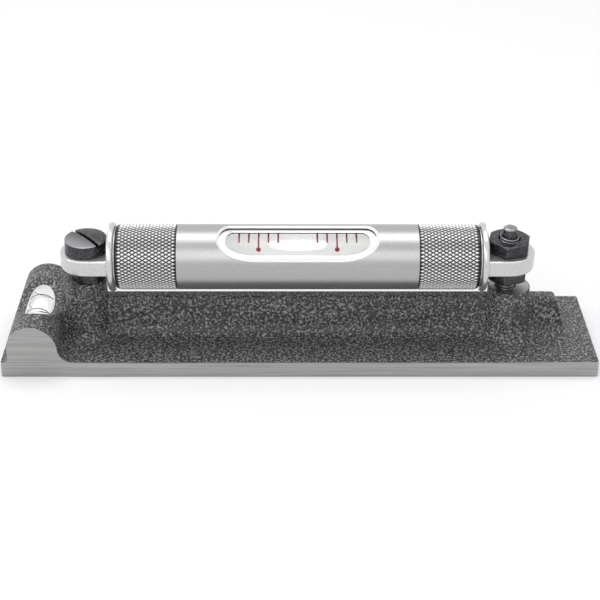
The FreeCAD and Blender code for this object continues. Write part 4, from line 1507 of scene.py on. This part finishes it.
@dataclass
class Studio:
    """Pale floor, white surround, soft lamps and the camera."""

    floor_size: float = 6.0
    floor_colour: Colour = (0.86, 0.86, 0.86)
    floor_lift: float = 0.16
    ambient: float = 0.55
    camera_place: tuple[float, float, float] = (-2.85, -297.84, 198.07)
    camera_yaw_deg: float = 0.547
    camera_pitch_deg: float = 31.851
    camera_roll_deg: float = 0.298
    lens_mm: float = 80.706

    def build(self) -> None:
        """Set up everything round the object."""
        self._world()
        self._floor()
        self._camera()
        softboxes = [
            Softbox("top_softbox", (0.0, 0.14, 0.62), (0.0, 0.0, 0.02), (0.66, 0.36), 1.7),
            Softbox("front_softbox", (-0.25, -0.85, 0.65), (0.0, 0.0, 0.01), (1.0, 0.7), 2.4),
            Softbox("left_softbox", (-0.8, -0.2, 0.45), (0.0, 0.0, 0.02), (0.4, 0.4), 1.0),
        ]
        for softbox in softboxes:
            softbox.build()
        bpy.context.scene.view_settings.view_transform = "Standard"

    def _world(self) -> None:
        """Light with a soft grey surround that looks white to the camera, in gloss and through glass."""
        world = bpy.data.worlds.new("white_surround")
        bpy.context.scene.world = world
        world.use_nodes = True
        world.node_tree.nodes.clear()
        graph = ShaderGraph(world.node_tree)
        path = graph.add("ShaderNodeLightPath")
        seen = graph.math("MAXIMUM", path.outputs["Is Camera Ray"], path.outputs["Is Glossy Ray"])
        seen = graph.math("MAXIMUM", seen, path.outputs["Is Transmission Ray"])
        soft = graph.add("ShaderNodeBackground", {"Color": (1.0, 1.0, 1.0, 1.0), "Strength": self.ambient})
        white = graph.add("ShaderNodeBackground", {"Color": (1.0, 1.0, 1.0, 1.0), "Strength": 1.0})
        mix = graph.add("ShaderNodeMixShader", {0: seen, 1: soft.outputs[0], 2: white.outputs[0]})
        out = graph.add("ShaderNodeOutputWorld")
        graph.feed(out.inputs["Surface"], mix.outputs[0])

    def _floor(self) -> None:
        """Lay the pale floor at the foot of the object."""
        low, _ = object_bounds()
        half = self.floor_size / 2.0
        mesh = bpy.data.meshes.new("studio_floor")
        mesh.from_pydata([(-half, -half, low[2]), (half, -half, low[2]), (half, half, low[2]),
                          (-half, half, low[2])], [], [(0, 1, 2, 3)])
        material = bpy.data.materials.new("studio_floor")
        material.use_nodes = True
        material.node_tree.nodes.clear()
        graph = ShaderGraph(material.node_tree)
        speck = graph.add("ShaderNodeTexNoise", {"Vector": graph.place(), "Scale": 40.0, "Detail": 2.0})
        low_colour = tuple(0.985 * value for value in self.floor_colour)
        colour = graph.blend(speck.outputs["Fac"], low_colour, self.floor_colour)
        matte = graph.add("ShaderNodeBsdfDiffuse", {"Color": colour})
        path = graph.add("ShaderNodeLightPath")
        seen = graph.math("MAXIMUM", path.outputs["Is Camera Ray"], path.outputs["Is Glossy Ray"])
        seen = graph.math("MAXIMUM", seen, path.outputs["Is Transmission Ray"])
        lift = graph.add("ShaderNodeEmission", {"Strength": graph.math("MULTIPLY", seen, self.floor_lift)})
        both = graph.add("ShaderNodeAddShader", {0: matte.outputs[0], 1: lift.outputs[0]})
        graph.feed(graph.add("ShaderNodeOutputMaterial").inputs["Surface"], both.outputs[0])
        mesh.materials.append(material)
        floor = bpy.data.objects.new("studio_floor", mesh)
        bpy.context.scene.collection.objects.link(floor)
        floor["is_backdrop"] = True

    def _camera(self) -> None:
        """Stand the camera in its place."""
        yaw, pitch, roll = (math.radians(v) for v in (self.camera_yaw_deg, self.camera_pitch_deg,
                                                      self.camera_roll_deg))
        ahead = Vector((math.sin(yaw) * math.cos(pitch), math.cos(yaw) * math.cos(pitch), -math.sin(pitch)))
        right = Vector((math.cos(yaw), -math.sin(yaw), 0.0))
        up = right.cross(ahead)
        tilted_right = math.cos(roll) * right + math.sin(roll) * up
        tilted_up = math.cos(roll) * up - math.sin(roll) * right
        turn = Matrix((tilted_right, tilted_up, -ahead)).transposed().to_4x4()
        data = bpy.data.cameras.new("station")
        data.lens = self.lens_mm
        data.sensor_width = 36.0
        data.clip_start = 0.01
        data.clip_end = 20.0
        camera = bpy.data.objects.new("station", data)
        camera.matrix_world = Matrix.Translation(Vector(self.camera_place) * MM) @ turn
        bpy.context.scene.collection.objects.link(camera)
        bpy.context.scene.camera = camera


def main() -> None:
    """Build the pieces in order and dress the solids."""
    logging.basicConfig(level=logging.INFO, format="%(name)s: %(message)s")
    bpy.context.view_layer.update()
    Studio().build()
    for node, finish in NODE_FINISHES.items():
        dress_node(node, finish)
    LOG.info("%d solids dressed", len(NODE_FINISHES))
    cover = KnurledCover()
    bands = cover.build(*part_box("cover_sleeve"))
    cover.end_caps()
    LOG.info("cover: %d knurled bands of %d faces", len(bands), len(bands[0].data.polygons))
    glass_low, glass_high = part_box("main_vial_glass")
    MainVial().build((glass_low.x + glass_high.x) / 2.0)
    LOG.info("main vial: graduations, dots, spirit and bubble")
    CrossVial().build(*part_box("cross_vial_glass"))
    LOG.info("cross vial: ring lines, spirit and bubble")
    AdjustingStud().build(*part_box("adjusting_stud"))
    Nuts().build()
    PivotScrew().build()
    Saddle().build()
    LOG.info("adjusting stud: core and thread")


if __name__ == "__main__":
    main()
